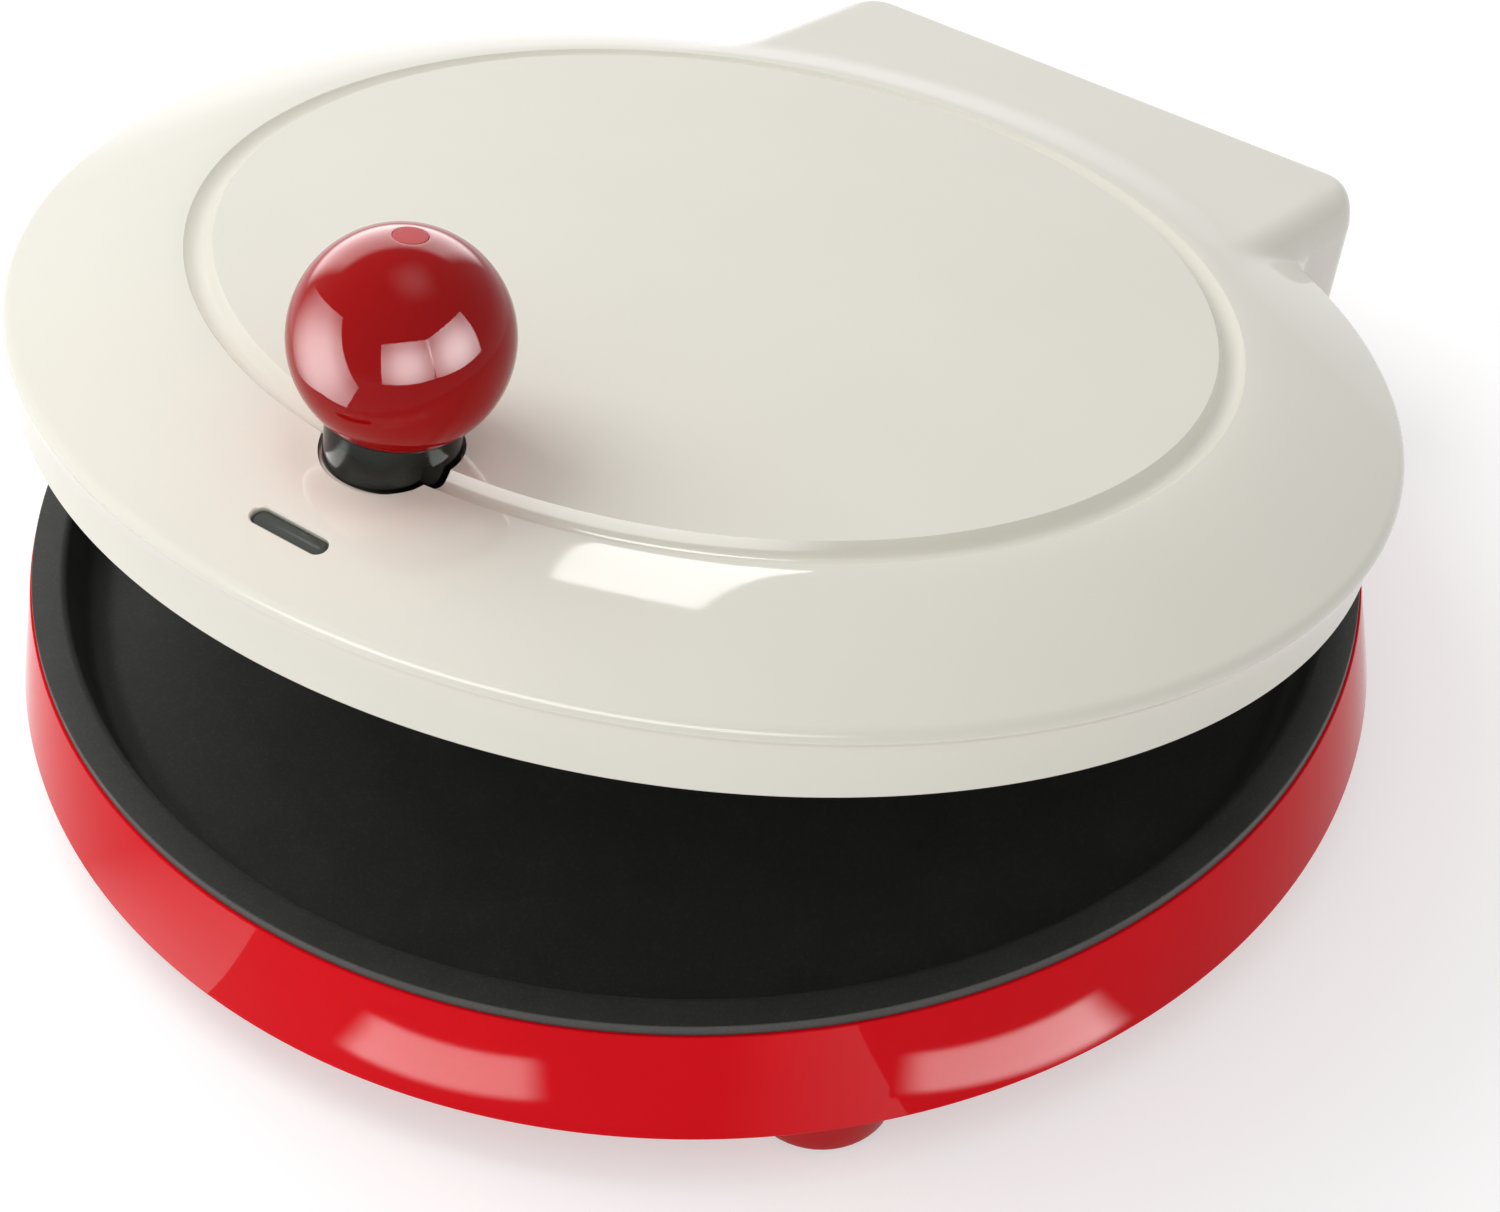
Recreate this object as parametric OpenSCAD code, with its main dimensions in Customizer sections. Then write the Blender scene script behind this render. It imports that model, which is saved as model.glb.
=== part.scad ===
// Countertop pizza maker: a round base with a cooking pan, and a hinged, heated lid.
// Base pieces use cooker coordinates: Z = 0 is the table, the pan axis is X = Y = 0, the hinge is at +Y.
// Lid pieces use lid coordinates: Z = 0 is the plane of the lid's widest edge, on the lid's own axis.
// at_base() and at_lid() put both into the part's frame, whose origin is the centre of the footprint.

/* [Base shell] */
// Radius of the base shell at its upper edge
base_top_r = 162.6; // [156:0.1:170]
// How far the base shell's lower edge stands outside its upper edge
base_flare = 4.9; // [1:0.1:8]
// Height of the base shell
base_h = 28.2; // [27:0.1:40]
// Wall of the base shell
base_wall = 2.5; // [1.8:0.1:3]
// Thickness of the base shell's floor
base_floor_t = 2.2; // [1.6:0.1:2.6]
// Rounding of the base shell's lower edge
base_edge_r = 3; // [1.5:0.1:5]
// Number of cooling slots in the base shell's floor
vent_count = 16; // [8:1:24]
// Length of one cooling slot
vent_len = 22; // [12:1:30]
// Width of one cooling slot
vent_w = 3; // [2:0.5:4]
// Distance of the cooling slots from the pan's axis
vent_ring_r = 62; // [50:1:70]

/* [Feet] */
// Height of the base shell's underside above the table
foot_h = 14; // [11:0.5:20]
// Radius of a foot where it meets the base shell
foot_r = 17; // [16.5:0.5:19]
// Radius of a foot at its lower end
foot_low_r = 16.2; // [13:0.1:16.4]
// Distance from the base shell's lower edge in to the middle of a foot
foot_inset = 20.5; // [19.5:0.5:26]
// Angle of the front feet from the left-right line
foot_angle = 42.5; // [35:0.5:50]
// Thickness of the rubber pads
pad_t = 2; // [1.5:0.1:3]
// Radius of the rubber pads
pad_r = 11.5; // [9:0.5:12]

/* [Lower pan] */
// Width of the pan's flat rim
pan_rim_w = 8.2; // [7:0.1:9]
// Thickness of the pan's rim
pan_rim_t = 2.6; // [2:0.1:3.2]
// How far the base shell's upper edge stands outside the pan's rim
pan_inset = 0.6; // [0.2:0.1:1.5]
// Depth of the pan
pan_depth = 17; // [12:0.5:17.4]
// Thickness of the pan's floor and wall
pan_t = 2.6; // [2:0.1:2.8]
// Slope of the pan's wall, as its step inwards over the depth
pan_draft = 4.5; // [2:0.5:6]
// Radius where the pan's wall meets its floor
pan_fillet_r = 6; // [3:0.5:8]
// Radius of the pan's four mounting posts
post_r = 4.5; // [4:0.1:5]
// Distance from the edge of the pan's floor in to the mounting posts
post_inset = 61.3; // [58:0.1:66]

/* [Heating elements] */
// Diameter of the tubular heating elements
element_d = 6.4; // [5.5:0.1:6.6]
// Distance from the edge of the pan's floor in to the middle of the heating element
element_inset = 41.3; // [39:0.1:47]
// Half of the angle left open between the ends of each element
element_gap = 20; // [16:1:24]
// Length of the cold end of each element
cold_end_len = 18; // [14:0.5:20]
// Radius of an element's terminal pin
terminal_r = 1.6; // [1.2:0.1:2]
// Length of an element's terminal pin
terminal_len = 7; // [5:0.5:8]
// Thickness of the clips that hold the elements
clip_t = 0.8; // [0.6:0.1:1]
// Width of the clips that hold the elements
clip_w = 12; // [8:1:16]
// Thickness of the reflector plates
reflector_t = 0.5; // [0.4:0.1:0.6]
// How far the reflector plates reach outside the middle of the heating element
reflector_margin = 11; // [8:0.5:12]
// Height of the lower reflector above the base shell's floor
reflector_lift = 0.7; // [0.6:0.1:0.8]

/* [Lid cover] */
// How far the lid's widest edge stands outside the pan's rim
lid_overhang = 3; // [2:0.1:6]
// Wall of the lid cover
lid_wall = 2.5; // [2:0.1:3]
// Height of the lid's skirt below its widest edge
skirt_h = 17.7; // [15:0.1:20]
// How far the skirt steps inwards over its height
skirt_draft = 3.3; // [1:0.1:4]
// Width of the sloping ring between the groove and the lid's widest edge
ring_w = 40.4; // [38:0.1:42]
// Width of the ring groove
groove_w = 6.6; // [5:0.1:8]
// Depth of the ring groove below the ring
groove_depth = 1.8; // [1:0.1:2.4]
// Height of the sloping ring at the groove
ring_h = 13.3; // [11:0.1:15]
// Bend of the sloping ring: 1 is straight, more is rounder
ring_bend = 1.35; // [1.1:0.05:1.8]
// Step from the ring's inner edge up to the panel
panel_step = 1.4; // [0.5:0.1:2]
// Rise of the panel from its edge to its centre
panel_rise = 2.6; // [1:0.1:4]
// Rounding of the lid's widest edge
lid_edge_r = 1.6; // [1:0.1:2]

/* [Hood over the hinge] */
// Width of the hood
hood_w = 166; // [154:1:172]
// Distance from the lid's widest edge back to the hood's rear face
hood_reach = 21; // [20:0.5:23]
// Height of the hood's top at its rear edge
hood_rear_z = 6.8; // [6:0.1:8]
// Fall of the hood's top from the ring to its rear edge
hood_fall = 2.4; // [1:0.1:3]
// Depth of the hood's side walls below the lid's widest edge
hood_side_h = 26; // [22:0.5:27]
// Radius of the hood's rear corners
hood_corner_r = 13; // [10:0.5:16]
// Radius of the rounded shoulders along the hood's sides
hood_shoulder_r = 9; // [6:0.5:9.5]
// Height of the hinge axis over the lower edge of the hood's rear wall
hood_notch_drop = 4; // [3:0.1:5]
// Width of the low part of the rear wall at each corner
hood_corner_w = 20.5; // [15:0.5:24]

/* [Upper plate] */
// Depth of the hollow in the upper plate
plate_depth = 10; // [8:0.5:11]
// Thickness of the upper plate
plate_t = 2.2; // [1.8:0.1:2.6]
// Width of the upper plate's rim
plate_rim_w = 6.8; // [5:0.1:8]
// How far the upper plate's rim stands below the skirt
plate_drop = 1.4; // [1:0.1:2]
// Outer radius of the posts that carry the upper reflector
plate_post_r = 8; // [7:0.1:9]
// Height of the upper reflector over the upper plate
upper_reflector_lift = 8; // [7.6:0.1:9]

/* [Hinge] */
// How far the lid stands open in the stored pose
lid_open = 12; // [6:0.5:20]
// Distance from the lid's widest edge back to the hinge axis
hinge_reach = 9; // [8:0.5:10]
// Height of the hinge axis over the pan's rim
hinge_lift = 4.1; // [3.5:0.1:5]
// Radius of the hinge pin
pin_r = 2.5; // [2:0.1:2.8]
// Running clearance around the hinge pin
pin_clear = 0.05; // [0.02:0.01:0.09]
// Radius of the hinge lugs and ears around the pin
knuckle_r = 6.5; // [5.5:0.1:6.8]
// Distance from the middle of the hinge to the middle of a lug
lug_x = 40; // [36:0.5:42]
// Width of a lug
lug_w = 12; // [9:0.5:14]
// Thickness of the steel ears
ear_t = 2; // [1.5:0.1:2.5]
// Thickness of the friction washers
washer_t = 0.8; // [0.6:0.1:1]
// Outer radius of the friction washers
washer_r = 5.4; // [5:0.1:5.5]
// Gap between a friction washer and its ear
washer_gap = 0.1; // [0.05:0.01:0.2]
// Thickness of the steel hinge plate
hinge_plate_t = 1.6; // [1.2:0.1:2]
// Thickness of the retaining clips on the pin
circlip_t = 1; // [0.8:0.1:1.2]
// Height of the bosses between the hood's roof and the hinge plate
hinge_boss_h = 2.2; // [1.6:0.1:3]

/* [Knob] */
// Radius of the ball
ball_r = 23.8; // [20:0.1:26]
// Height of the ball's centre over the lid's widest edge
ball_z = 39.7; // [37:0.1:44]
// Distance from the lid's widest edge in to the knob's axis
knob_inset = 47.5; // [46:0.5:49]
// Radius of the ferrule under the ball
ferrule_r = 14.5; // [12:0.1:16]
// Radius of the small cap on top of the ball
cap_r = 3.8; // [3:0.1:5]
// Depth of the small cap's seat in the ball
cap_seat = 1.2; // [0.8:0.1:1.6]
// Gap around the ferrule in its recess
ferrule_gap = 1.5; // [1:0.1:2]
// Depth of the ferrule's recess below the ring's inner edge
recess_depth = 2.8; // [2.2:0.1:3.2]
// Radius of the knob's screw
knob_screw_r = 2.5; // [2:0.1:3]
// Thickness of the insulating washer under the knob's screw
knob_washer_t = 1.5; // [1:0.1:2]

/* [Indicator] */
// Distance from the lid's widest edge in to the indicator
lamp_inset = 16.3; // [15:0.1:19]
// Length of the indicator's window
lamp_len = 20; // [16:0.5:24]
// Width of the indicator's window
lamp_w = 4.6; // [4:0.1:6]
// Clearance around the lens in its window
lens_clear = 0.1; // [0.05:0.01:0.2]
// Depth of the lens below the ring's surface
lens_sink = 0.8; // [0.5:0.1:1.2]
// Thickness of the lens flange
lens_flange_t = 1; // [0.8:0.1:1.4]
// Radius of the neon lamp
neon_r = 2.4; // [2:0.1:2.5]

/* [Fasteners and wires] */
// Radius of the small screws
screw_r = 1.9; // [1.5:0.1:2]
// Clearance around the small screws
screw_clear = 0.25; // [0.1:0.05:0.4]
// Radius of the small screws' heads
screw_head_r = 3.5; // [3:0.1:3.8]
// Height of the small screws' heads
screw_head_h = 2; // [1.5:0.1:2.4]
// Radius of the inner wires
wire_r = 1.2; // [0.9:0.1:1.4]
// Radius of the bore through the cord's gland
gland_bore_r = 3.5; // [3:0.1:4]
// Outer radius of the cord's gland in the shell
gland_r = 5.5; // [5:0.1:6]
// Height of the cord's gland above the table
gland_z = 25.5; // [24:0.5:26.5]

/* [Hidden] */
$fn = 96;
eps = 0.01;
// Gap left between the pan's rim and the upper plate's rim when the lid is shut
closed_gap = 0.5;

// Heights and radii in cooker coordinates
base_bottom_r = base_top_r + base_flare;
base_top_z = foot_h + base_h;
floor_top_z = foot_h + base_floor_t;
pan_top_z = base_top_z + pan_rim_t;
pan_floor_z = pan_top_z - pan_depth;
pan_under_z = pan_floor_z - pan_t;
pan_r = base_top_r - pan_inset;
pan_mouth_r = pan_r - pan_rim_w;
pan_floor_r = pan_mouth_r - pan_draft;
foot_ring_r = base_bottom_r - foot_inset;
post_ring_r = pan_floor_r - post_inset;
element_ring_r = pan_floor_r - element_inset;
reflector_r = element_ring_r + reflector_margin;
lower_reflector_z = floor_top_z + reflector_lift;
hinge_z = pan_top_z + hinge_lift;

// Lid coordinates
lid_r = pan_r + lid_overhang;
hinge_y = lid_r + hinge_reach;
hood_rear = lid_r + hood_reach;
knob_y = lid_r - knob_inset;
lamp_y = lid_r - lamp_inset;
groove_out_r = lid_r - ring_w;
lid_closed_z = pan_top_z + closed_gap + plate_drop + skirt_h;
hinge_lid_z = hinge_z - lid_closed_z;
panel_z = ring_h + panel_step;
groove_in_r = groove_out_r - groove_w;
skirt_low_r = lid_r - skirt_draft;
hood_front_z = hood_rear_z + hood_fall;
plate_rim_r = skirt_low_r - lid_wall - 0.4;
plate_mouth_r = plate_rim_r - plate_rim_w;
plate_floor_r = plate_mouth_r - 4;
plate_rim_z = -skirt_h - plate_drop;
plate_under_z = plate_rim_z + plate_depth;
plate_top_z = plate_under_z + plate_t;
upper_reflector_z = plate_top_z + upper_reflector_lift;
seat_z = ring_h - recess_depth;
seat_under_z = seat_z - lid_wall;
hinge_plate_z = hood_rear_z - lid_wall - hinge_boss_h - hinge_plate_t;
ferrule_top_z = ball_z - sqrt(pow(ball_r, 2) - pow(ferrule_r, 2));

// Hinge stack along X, outwards from a lug
ear_in_x = lug_x + lug_w / 2 + washer_t + washer_gap;
pin_half = ear_in_x + ear_t + circlip_t + 1.2;

// Place of the part's frame
rear_y = hinge_y + (hood_rear - hinge_y) * cos(lid_open) + (hood_rear_z - hinge_lid_z) * sin(lid_open);
origin_y = (rear_y - base_bottom_r) / 2;

FEET = [for (sx = [-1, 1], sy = [-1, 1])
    [sx * foot_ring_r * cos(foot_angle), sy * foot_ring_r * sin(foot_angle)]];
POSTS = [for (a = [45:90:315]) [post_ring_r * cos(a), post_ring_r * sin(a)]];
CLIP_ANGLES = [0, 180, 225, 315];
hinge_screw_x = 18;
hinge_screw_front = 5;
hinge_screw_back = 4;
HINGE_SCREWS = [for (sx = [-1, 1], y = [hinge_y - hinge_screw_front, hinge_y + hinge_screw_back])
    [sx * hinge_screw_x, y]];
foot_screw_len = 9;
pan_screw_len = 7;
plate_screw_len = 11;
terminal_end_r = element_ring_r + cold_end_len + terminal_len;
sleeve_wire_len = 6;
lug_root = 12;
base_clear = 1.5;
boss_r = 5;
plate_seat_t = 1.5;
recess_r = ferrule_r + ferrule_gap;
hood_front_y = groove_out_r - 24.6;
knob_screw_reach = 21;

// Places of the wires, blocks and the cord's gland
thermostat_lead_x = 4;
fuse_y = 54;
fuse_len = 12;
block_y = element_ring_r + cold_end_len + 7;
base_wire_z = floor_top_z + 4.2;
gland_in_y = shell_r(gland_z + gland_r + 2, base_wall) - 2.5;
gland_collar_y = base_bottom_r + 0.1;
gland_out_y = gland_collar_y + 8.3;
hinge_plate_y = lid_r + 1.2;
hinge_plate_depth = hood_rear - lid_wall - 1.3 - hinge_plate_y;
ear_mid = lug_w / 2 + washer_t + washer_gap + ear_t / 2;
lid_block_y = lid_r + 3.5;
lid_wire_z = hinge_plate_z - 4.3;
lid_lead_x = 5.5;
wire_window = 28;
WIRE_SIDES = 8;
lens_seat = lid_wall + 0.3;
neon_depth = lens_seat + lens_flange_t + neon_r + 0.8;
neon_len = 16;
lamp_lead_x = 17;

module at_base() translate([0, -origin_y, 0]) children();

module at_lid() translate([0, hinge_y - origin_y, hinge_z]) rotate([-lid_open, 0, 0])
    translate([0, -hinge_y, -hinge_lid_z]) children();

// Height of the sloping ring's surface, and its slope, at distance r from the lid's axis
function ring_t(r) = (r - groove_out_r) / (lid_r - groove_out_r);
function ring_z(r) = ring_h * (1 - pow(ring_t(r), ring_bend));
function ring_slope(r) = atan(ring_h * ring_bend * pow(ring_t(r), ring_bend - 1) / (lid_r - groove_out_r));

module at_indicator() translate([0, -lamp_y, ring_z(lamp_y)]) rotate([ring_slope(lamp_y), 0, 0])
    children();

// A disc or washer from height z up by h
module disc(z, h, r, bore = 0) translate([0, 0, z]) difference() {
    cylinder(r = r, h = h);
    if (bore > 0) translate([0, 0, -1]) cylinder(r = bore, h = h + 2);
}

// A straight wire between two points, run on by a lap at both ends
module rod(p, q, lap) {
    d = q - p;
    len = norm(d);
    translate(p) rotate([0, acos(d[2] / len), atan2(d[1], d[0])]) translate([0, 0, -lap])
        cylinder(r = wire_r, h = len + 2 * lap, $fn = WIRE_SIDES);
}

// A wire through a list of points
module wire(points) for (i = [1:len(points) - 1]) rod(points[i - 1], points[i], wire_r / 3);

// A bar with rounded ends: length along X, width along Y
module slot_bar(length, width, z, h) translate([0, 0, z]) linear_extrude(h) union() {
    square([length - width, width], center = true);
    for (s = [-1, 1]) translate([s * (length - width) / 2, 0]) circle(d = width);
}

// A (Y, Z) outline extruded along X, centred at x
module x_prism(x, w) translate([x - w / 2, 0, 0]) rotate([90, 0, 90]) linear_extrude(w) children();

// A round bar along Y from y up by len, at height z
module y_bar(x, y, z, r, len) translate([x, y, z]) rotate([-90, 0, 0]) cylinder(r = r, h = len);

// ---------------------------------------------------------------- base shell

// Radius of the base shell's side at height z, pulled in by inset
function shell_r(z, inset) = base_bottom_r - inset - (base_bottom_r - base_top_r) * (z - foot_h) / base_h;

module shell_solid(inset, low, high, edge) rotate_extrude($fn = 180) polygon(concat(
    [[0, low]],
    [for (a = [-90:15:0]) [shell_r(low, inset) - edge + edge * cos(a), low + edge + edge * sin(a)]],
    [[shell_r(high, inset), high], [0, high]]));

// Side view of a hinge lug: a knuckle around the pin on a neck that rises from the shell
module lug_outline() {
    neck_y = hinge_y - knuckle_r - 2;
    translate([hinge_y, hinge_z]) circle(r = knuckle_r);
    polygon([[hinge_y, hinge_z - knuckle_r], [hinge_y - 2, hinge_z - knuckle_r + 0.2],
        [neck_y, hinge_z - knuckle_r - 3], [neck_y, foot_h + lug_root], [base_top_r - 20, foot_h + lug_root],
        [base_top_r - 20, base_top_z - 0.6], [base_top_r - 0.5, base_top_z - 0.6],
        [neck_y, hinge_z - knuckle_r / 2], [hinge_y - 0.8 * knuckle_r, hinge_z + knuckle_r / 2],
        [hinge_y, hinge_z]]);
}

module base_shell() at_base() color("#c8141e") difference() {
    union() {
        difference() {
            union() {
                shell_solid(0, foot_h, base_top_z, base_edge_r);
                for (s = [-1, 1]) x_prism(s * lug_x, lug_w) lug_outline();
            }
            shell_solid(base_wall, floor_top_z, base_top_z + eps, base_edge_r / 2);
        }
        for (p = POSTS) translate(p) disc(floor_top_z - 1, reflector_lift + 1, post_r + 3.5, post_r + 0.3);
    }
    for (p = concat(POSTS, FEET)) translate([p[0], p[1], foot_h - 1])
        cylinder(r = screw_r + screw_clear, h = base_floor_t + 2);
    for (i = [0:vent_count - 1]) rotate(360 * (i + 0.5) / vent_count) translate([vent_ring_r, 0, 0])
        slot_bar(vent_len, vent_w, foot_h - 1, base_floor_t + 2);
    for (s = [-1, 1]) translate([s * lug_x - lug_w, hinge_y, hinge_z]) rotate([0, 90, 0])
        cylinder(r = pin_r + pin_clear, h = 2 * lug_w);
    y_bar(0, gland_in_y - 5, gland_z, gland_r + 0.1, gland_out_y - gland_in_y + 10);
}

module feet() at_base() color("#a8141c") for (p = FEET) translate(p) difference() {
    rotate_extrude() polygon(concat([[0, foot_h]],
        [for (a = [0:15:90])
            [foot_low_r + (foot_r - foot_low_r) * cos(a), foot_h - (foot_h - pad_t) * sin(a)]],
        [[0, pad_t]]));
    translate([0, 0, foot_h - foot_screw_len]) cylinder(r = screw_r + 0.05, h = foot_screw_len + 1);
}

module foot_pads() at_base() color("#1c1c1c") for (p = FEET) translate(p) disc(0, pad_t, pad_r);

// A pan-head screw whose head sits at height z and whose shank points up (dir 1) or down (dir -1)
module small_screw(z, dir, len) translate([0, 0, z]) flip(dir) union() {
    translate([0, 0, -screw_head_h]) cylinder(r = screw_head_r, h = screw_head_h);
    translate([0, 0, -0.5]) cylinder(r = screw_r, h = len + 0.5);
}

// Children as they are (dir 1) or upside down (dir -1)
module flip(dir) if (dir > 0) children(); else mirror([0, 0, 1]) children();

module foot_screws() at_base() color("silver") for (p = FEET) translate(p)
    small_screw(floor_top_z, -1, base_floor_t + foot_screw_len - 1.5);

// ---------------------------------------------------------------- lower pan

module lower_pan() at_base() color("#1d1d1c") difference() {
    union() {
        rotate_extrude($fn = 180) polygon(concat(
            [[0, pan_under_z], [pan_floor_r - pan_fillet_r / 2, pan_under_z],
                [pan_floor_r + 0.6 * pan_t, pan_floor_z], [pan_mouth_r + pan_t, base_top_z],
                [pan_r, base_top_z], [pan_r, pan_top_z - 0.8], [pan_r - 0.8, pan_top_z],
                [pan_mouth_r + 1, pan_top_z], [pan_mouth_r, pan_top_z - 1]],
            [for (a = [-15:-15:-90]) [pan_floor_r + pan_fillet_r * (cos(a) - 1),
                pan_floor_z + pan_fillet_r * (1 + sin(a))]],
            [[0, pan_floor_z]]));
        for (p = POSTS) translate(p) disc(floor_top_z, pan_under_z - floor_top_z + 0.5, post_r);
    }
    for (p = POSTS) translate([p[0], p[1], floor_top_z - 1])
        cylinder(r = screw_r + 0.05, h = pan_screw_len + 1);
}

module pan_screws() at_base() color("silver") for (p = POSTS) translate(p)
    small_screw(foot_h, 1, base_floor_t + pan_screw_len - 1);

// ---------------------------------------------------------------- heating elements

// The curved part of an element with tube radius r, and its centre at height z
module element_arc(z, r) rotate(90 + element_gap) rotate_extrude(angle = 360 - 2 * element_gap)
    translate([element_ring_r, z]) circle(r = r);

module element(z) {
    element_arc(z, element_d / 2);
    for (s = [-1, 1]) rotate(90 + s * element_gap) translate([element_ring_r, 0, z]) {
        sphere(d = element_d);
        rotate([0, 90, 0]) cylinder(d = element_d, h = cold_end_len);
        rotate([0, 90, 0]) cylinder(r = terminal_r, h = cold_end_len + terminal_len);
    }
}

// Clips over an element that lies on a plate: the plate is at height z, and the clip arches along dir
module element_clips(z, dir) for (a = CLIP_ANGLES) translate([0, 0, z]) flip(dir) difference() {
    rotate(a) translate([element_ring_r - element_d / 2 - clip_t, -clip_w / 2, 0])
        cube([element_d + 2 * clip_t, clip_w, element_d + clip_t]);
    element_arc(element_d / 2, element_d / 2 + 0.02);
    translate([0, 0, -1]) difference() {
        cylinder(r = element_ring_r + element_d / 2 + 0.02, h = 1 + element_d / 2);
        translate([0, 0, -1]) cylinder(r = element_ring_r - element_d / 2 - 0.02, h = 3 + element_d / 2);
    }
}

// A thin reflector plate at height z with holes of radius r around the posts
module reflector(z, r) difference() {
    disc(z, reflector_t, reflector_r);
    for (p = POSTS) translate([p[0], p[1], z - 1]) cylinder(r = r, h = 3);
}

module lower_heating_element() at_base() color("#5b5450") element(pan_under_z - element_d / 2);

module lower_element_clips() at_base() color("silver") element_clips(pan_under_z, -1);

module lower_reflector() at_base() color("lightgray") reflector(lower_reflector_z, post_r + 0.6);

// ---------------------------------------------------------------- electrics of the base

module thermostat() at_base() color("#3a2d22") {
    disc(pan_under_z - 5, 5, 8);
    translate([0, 8, pan_under_z - 4]) for (s = [-1, 1])
        translate([s * thermostat_lead_x - 1.5, -3, -0.5]) cube([3, 6, 1]);
}

module thermal_fuse() at_base() color("#b9b3a4")
    y_bar(-thermostat_lead_x, fuse_y, base_wire_z, 2.2, fuse_len);

module base_terminal_block() at_base() color("#e8e4d8") difference() {
    translate([-12, block_y, floor_top_z]) cube([24, 12, 7]);
    for (s = [-1, 1]) translate([0, block_y + 6, base_wire_z]) rotate([0, s * 90, 0])
        translate([0, 0, 8]) cylinder(r = wire_r + 0.05, h = 5);
    for (s = [-1, 1]) y_bar(s * thermostat_lead_x, block_y - 1, base_wire_z, wire_r + 0.05, 4.6);
    for (s = [-1, 1]) y_bar(s * thermostat_lead_x, block_y + 8.4, base_wire_z, wire_r + 0.05, 5);
}

// A push-on sleeve over an element's terminal pin at height z, with the wire's first stretch
module terminal_sleeve(side, z) rotate(90 + side * element_gap) translate([terminal_end_r, 0, z])
    rotate([0, 90, 0]) difference() {
        union() {
            translate([0, 0, -4]) cylinder(r = terminal_r + 0.8, h = 7);
            cylinder(r = wire_r, h = sleeve_wire_len, $fn = WIRE_SIDES);
        }
        translate([0, 0, -5]) cylinder(r = terminal_r + 0.05, h = 5);
    }

// The point past the end of a terminal pin, at distance out along it
function sleeve_point(side, out, z) = [(terminal_end_r + out) * cos(90 + side * element_gap),
    (terminal_end_r + out) * sin(90 + side * element_gap), z];

module base_wiring() at_base() color("#c9b458") {
    z = pan_under_z - element_d / 2;
    for (s = [-1, 1]) {
        terminal_sleeve(s, z);
        wire([sleeve_point(s, sleeve_wire_len - wire_r, z), [-s * 18, block_y + 6, base_wire_z],
            [-s * 9, block_y + 6, base_wire_z]]);
    }
    wire([[thermostat_lead_x, 11.5, base_wire_z], [thermostat_lead_x, block_y + 2.5, base_wire_z]]);
    wire([[-thermostat_lead_x, 11.5, base_wire_z], [-thermostat_lead_x, fuse_y - wire_r / 3, base_wire_z]]);
    wire([[-thermostat_lead_x, fuse_y + fuse_len + wire_r / 3, base_wire_z],
        [-thermostat_lead_x, block_y + 2.5, base_wire_z]]);
}

module cord_gland() at_base() color("#141414") difference() {
    union() {
        y_bar(0, gland_in_y, gland_z, gland_r, gland_out_y - gland_in_y);
        y_bar(0, gland_collar_y, gland_z, gland_r + 1.8, 2.5);
        y_bar(0, gland_in_y, gland_z, gland_r + 1.4, 2);
    }
    y_bar(0, gland_in_y - 1, gland_z, gland_bore_r, gland_out_y - gland_in_y + 2);
}

// ---------------------------------------------------------------- hinge

module hinge_pin() at_base() color("silver") translate([-pin_half, hinge_y, hinge_z]) rotate([0, 90, 0])
    cylinder(r = pin_r, h = 2 * pin_half);

// A ring around the hinge pin whose inner side is at x, growing along +X
module pin_ring(x, t, r, bore) translate([x, hinge_y, hinge_z]) rotate([0, 90, 0]) disc(0, t, r, bore);

module friction_washers() at_base() color("#c9a54a") for (s = [-1, 1]) {
    pin_ring(s * lug_x + lug_w / 2, washer_t, washer_r, pin_r + pin_clear);
    pin_ring(s * lug_x - lug_w / 2 - washer_t, washer_t, washer_r, pin_r + pin_clear);
}

module pin_circlips() at_base() color("#777777") for (s = [-1, 1])
    pin_ring(s * (ear_in_x + ear_t + 0.1 + circlip_t / 2) - circlip_t / 2, circlip_t, pin_r + 2, pin_r);

module hinge_plate() at_lid() color("silver") difference() {
    union() {
        translate([-pin_half, hinge_plate_y, hinge_plate_z])
            cube([2 * pin_half, hinge_plate_depth, hinge_plate_t]);
        for (s = [-1, 1], side = [-1, 1]) x_prism(s * lug_x + side * ear_mid, ear_t) {
            translate([hinge_y, hinge_lid_z]) circle(r = knuckle_r);
            translate([hinge_y - knuckle_r, hinge_lid_z])
                square([2 * knuckle_r, hinge_plate_z - hinge_lid_z + 0.5]);
        }
    }
    translate([-pin_half - 1, hinge_y, hinge_lid_z]) rotate([0, 90, 0])
        cylinder(r = pin_r + pin_clear, h = 2 * pin_half + 2);
    for (p = HINGE_SCREWS) translate([p[0], p[1], hinge_plate_z - 1])
        cylinder(r = screw_r + screw_clear, h = hinge_plate_t + 2);
}

module hinge_plate_screws() at_lid() color("gray") for (p = HINGE_SCREWS) translate(p)
    small_screw(hinge_plate_z, 1, hinge_plate_t + hinge_boss_h);

// ---------------------------------------------------------------- lid cover

// Height of the lid's outer surface at distance r from its axis
function lid_z(r) = r < groove_in_r ? panel_z + panel_rise * (1 - pow(r / groove_in_r, 2)) : ring_z(r);

module lid_outer() rotate_extrude($fn = 180) polygon(concat(
    [[0, -skirt_h], [skirt_low_r, -skirt_h]],
    [for (a = [0:15:60]) [lid_r - lid_edge_r * (1 - cos(a)), lid_edge_r * (sin(a) - 0.62)]],
    [for (i = [1:12]) let (r = lid_r - i * (lid_r - groove_out_r) / 12) [r, ring_z(r)]],
    [[groove_out_r - 0.25 * groove_w, ring_h - 0.85 * groove_depth],
        [groove_out_r - 0.55 * groove_w, ring_h - groove_depth],
        [groove_out_r - 0.85 * groove_w, ring_h - 0.7 * groove_depth]],
    [for (i = [0:8]) let (r = groove_in_r * (1 - i / 8)) [r, lid_z(min(r, groove_in_r - eps))]]));

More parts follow.
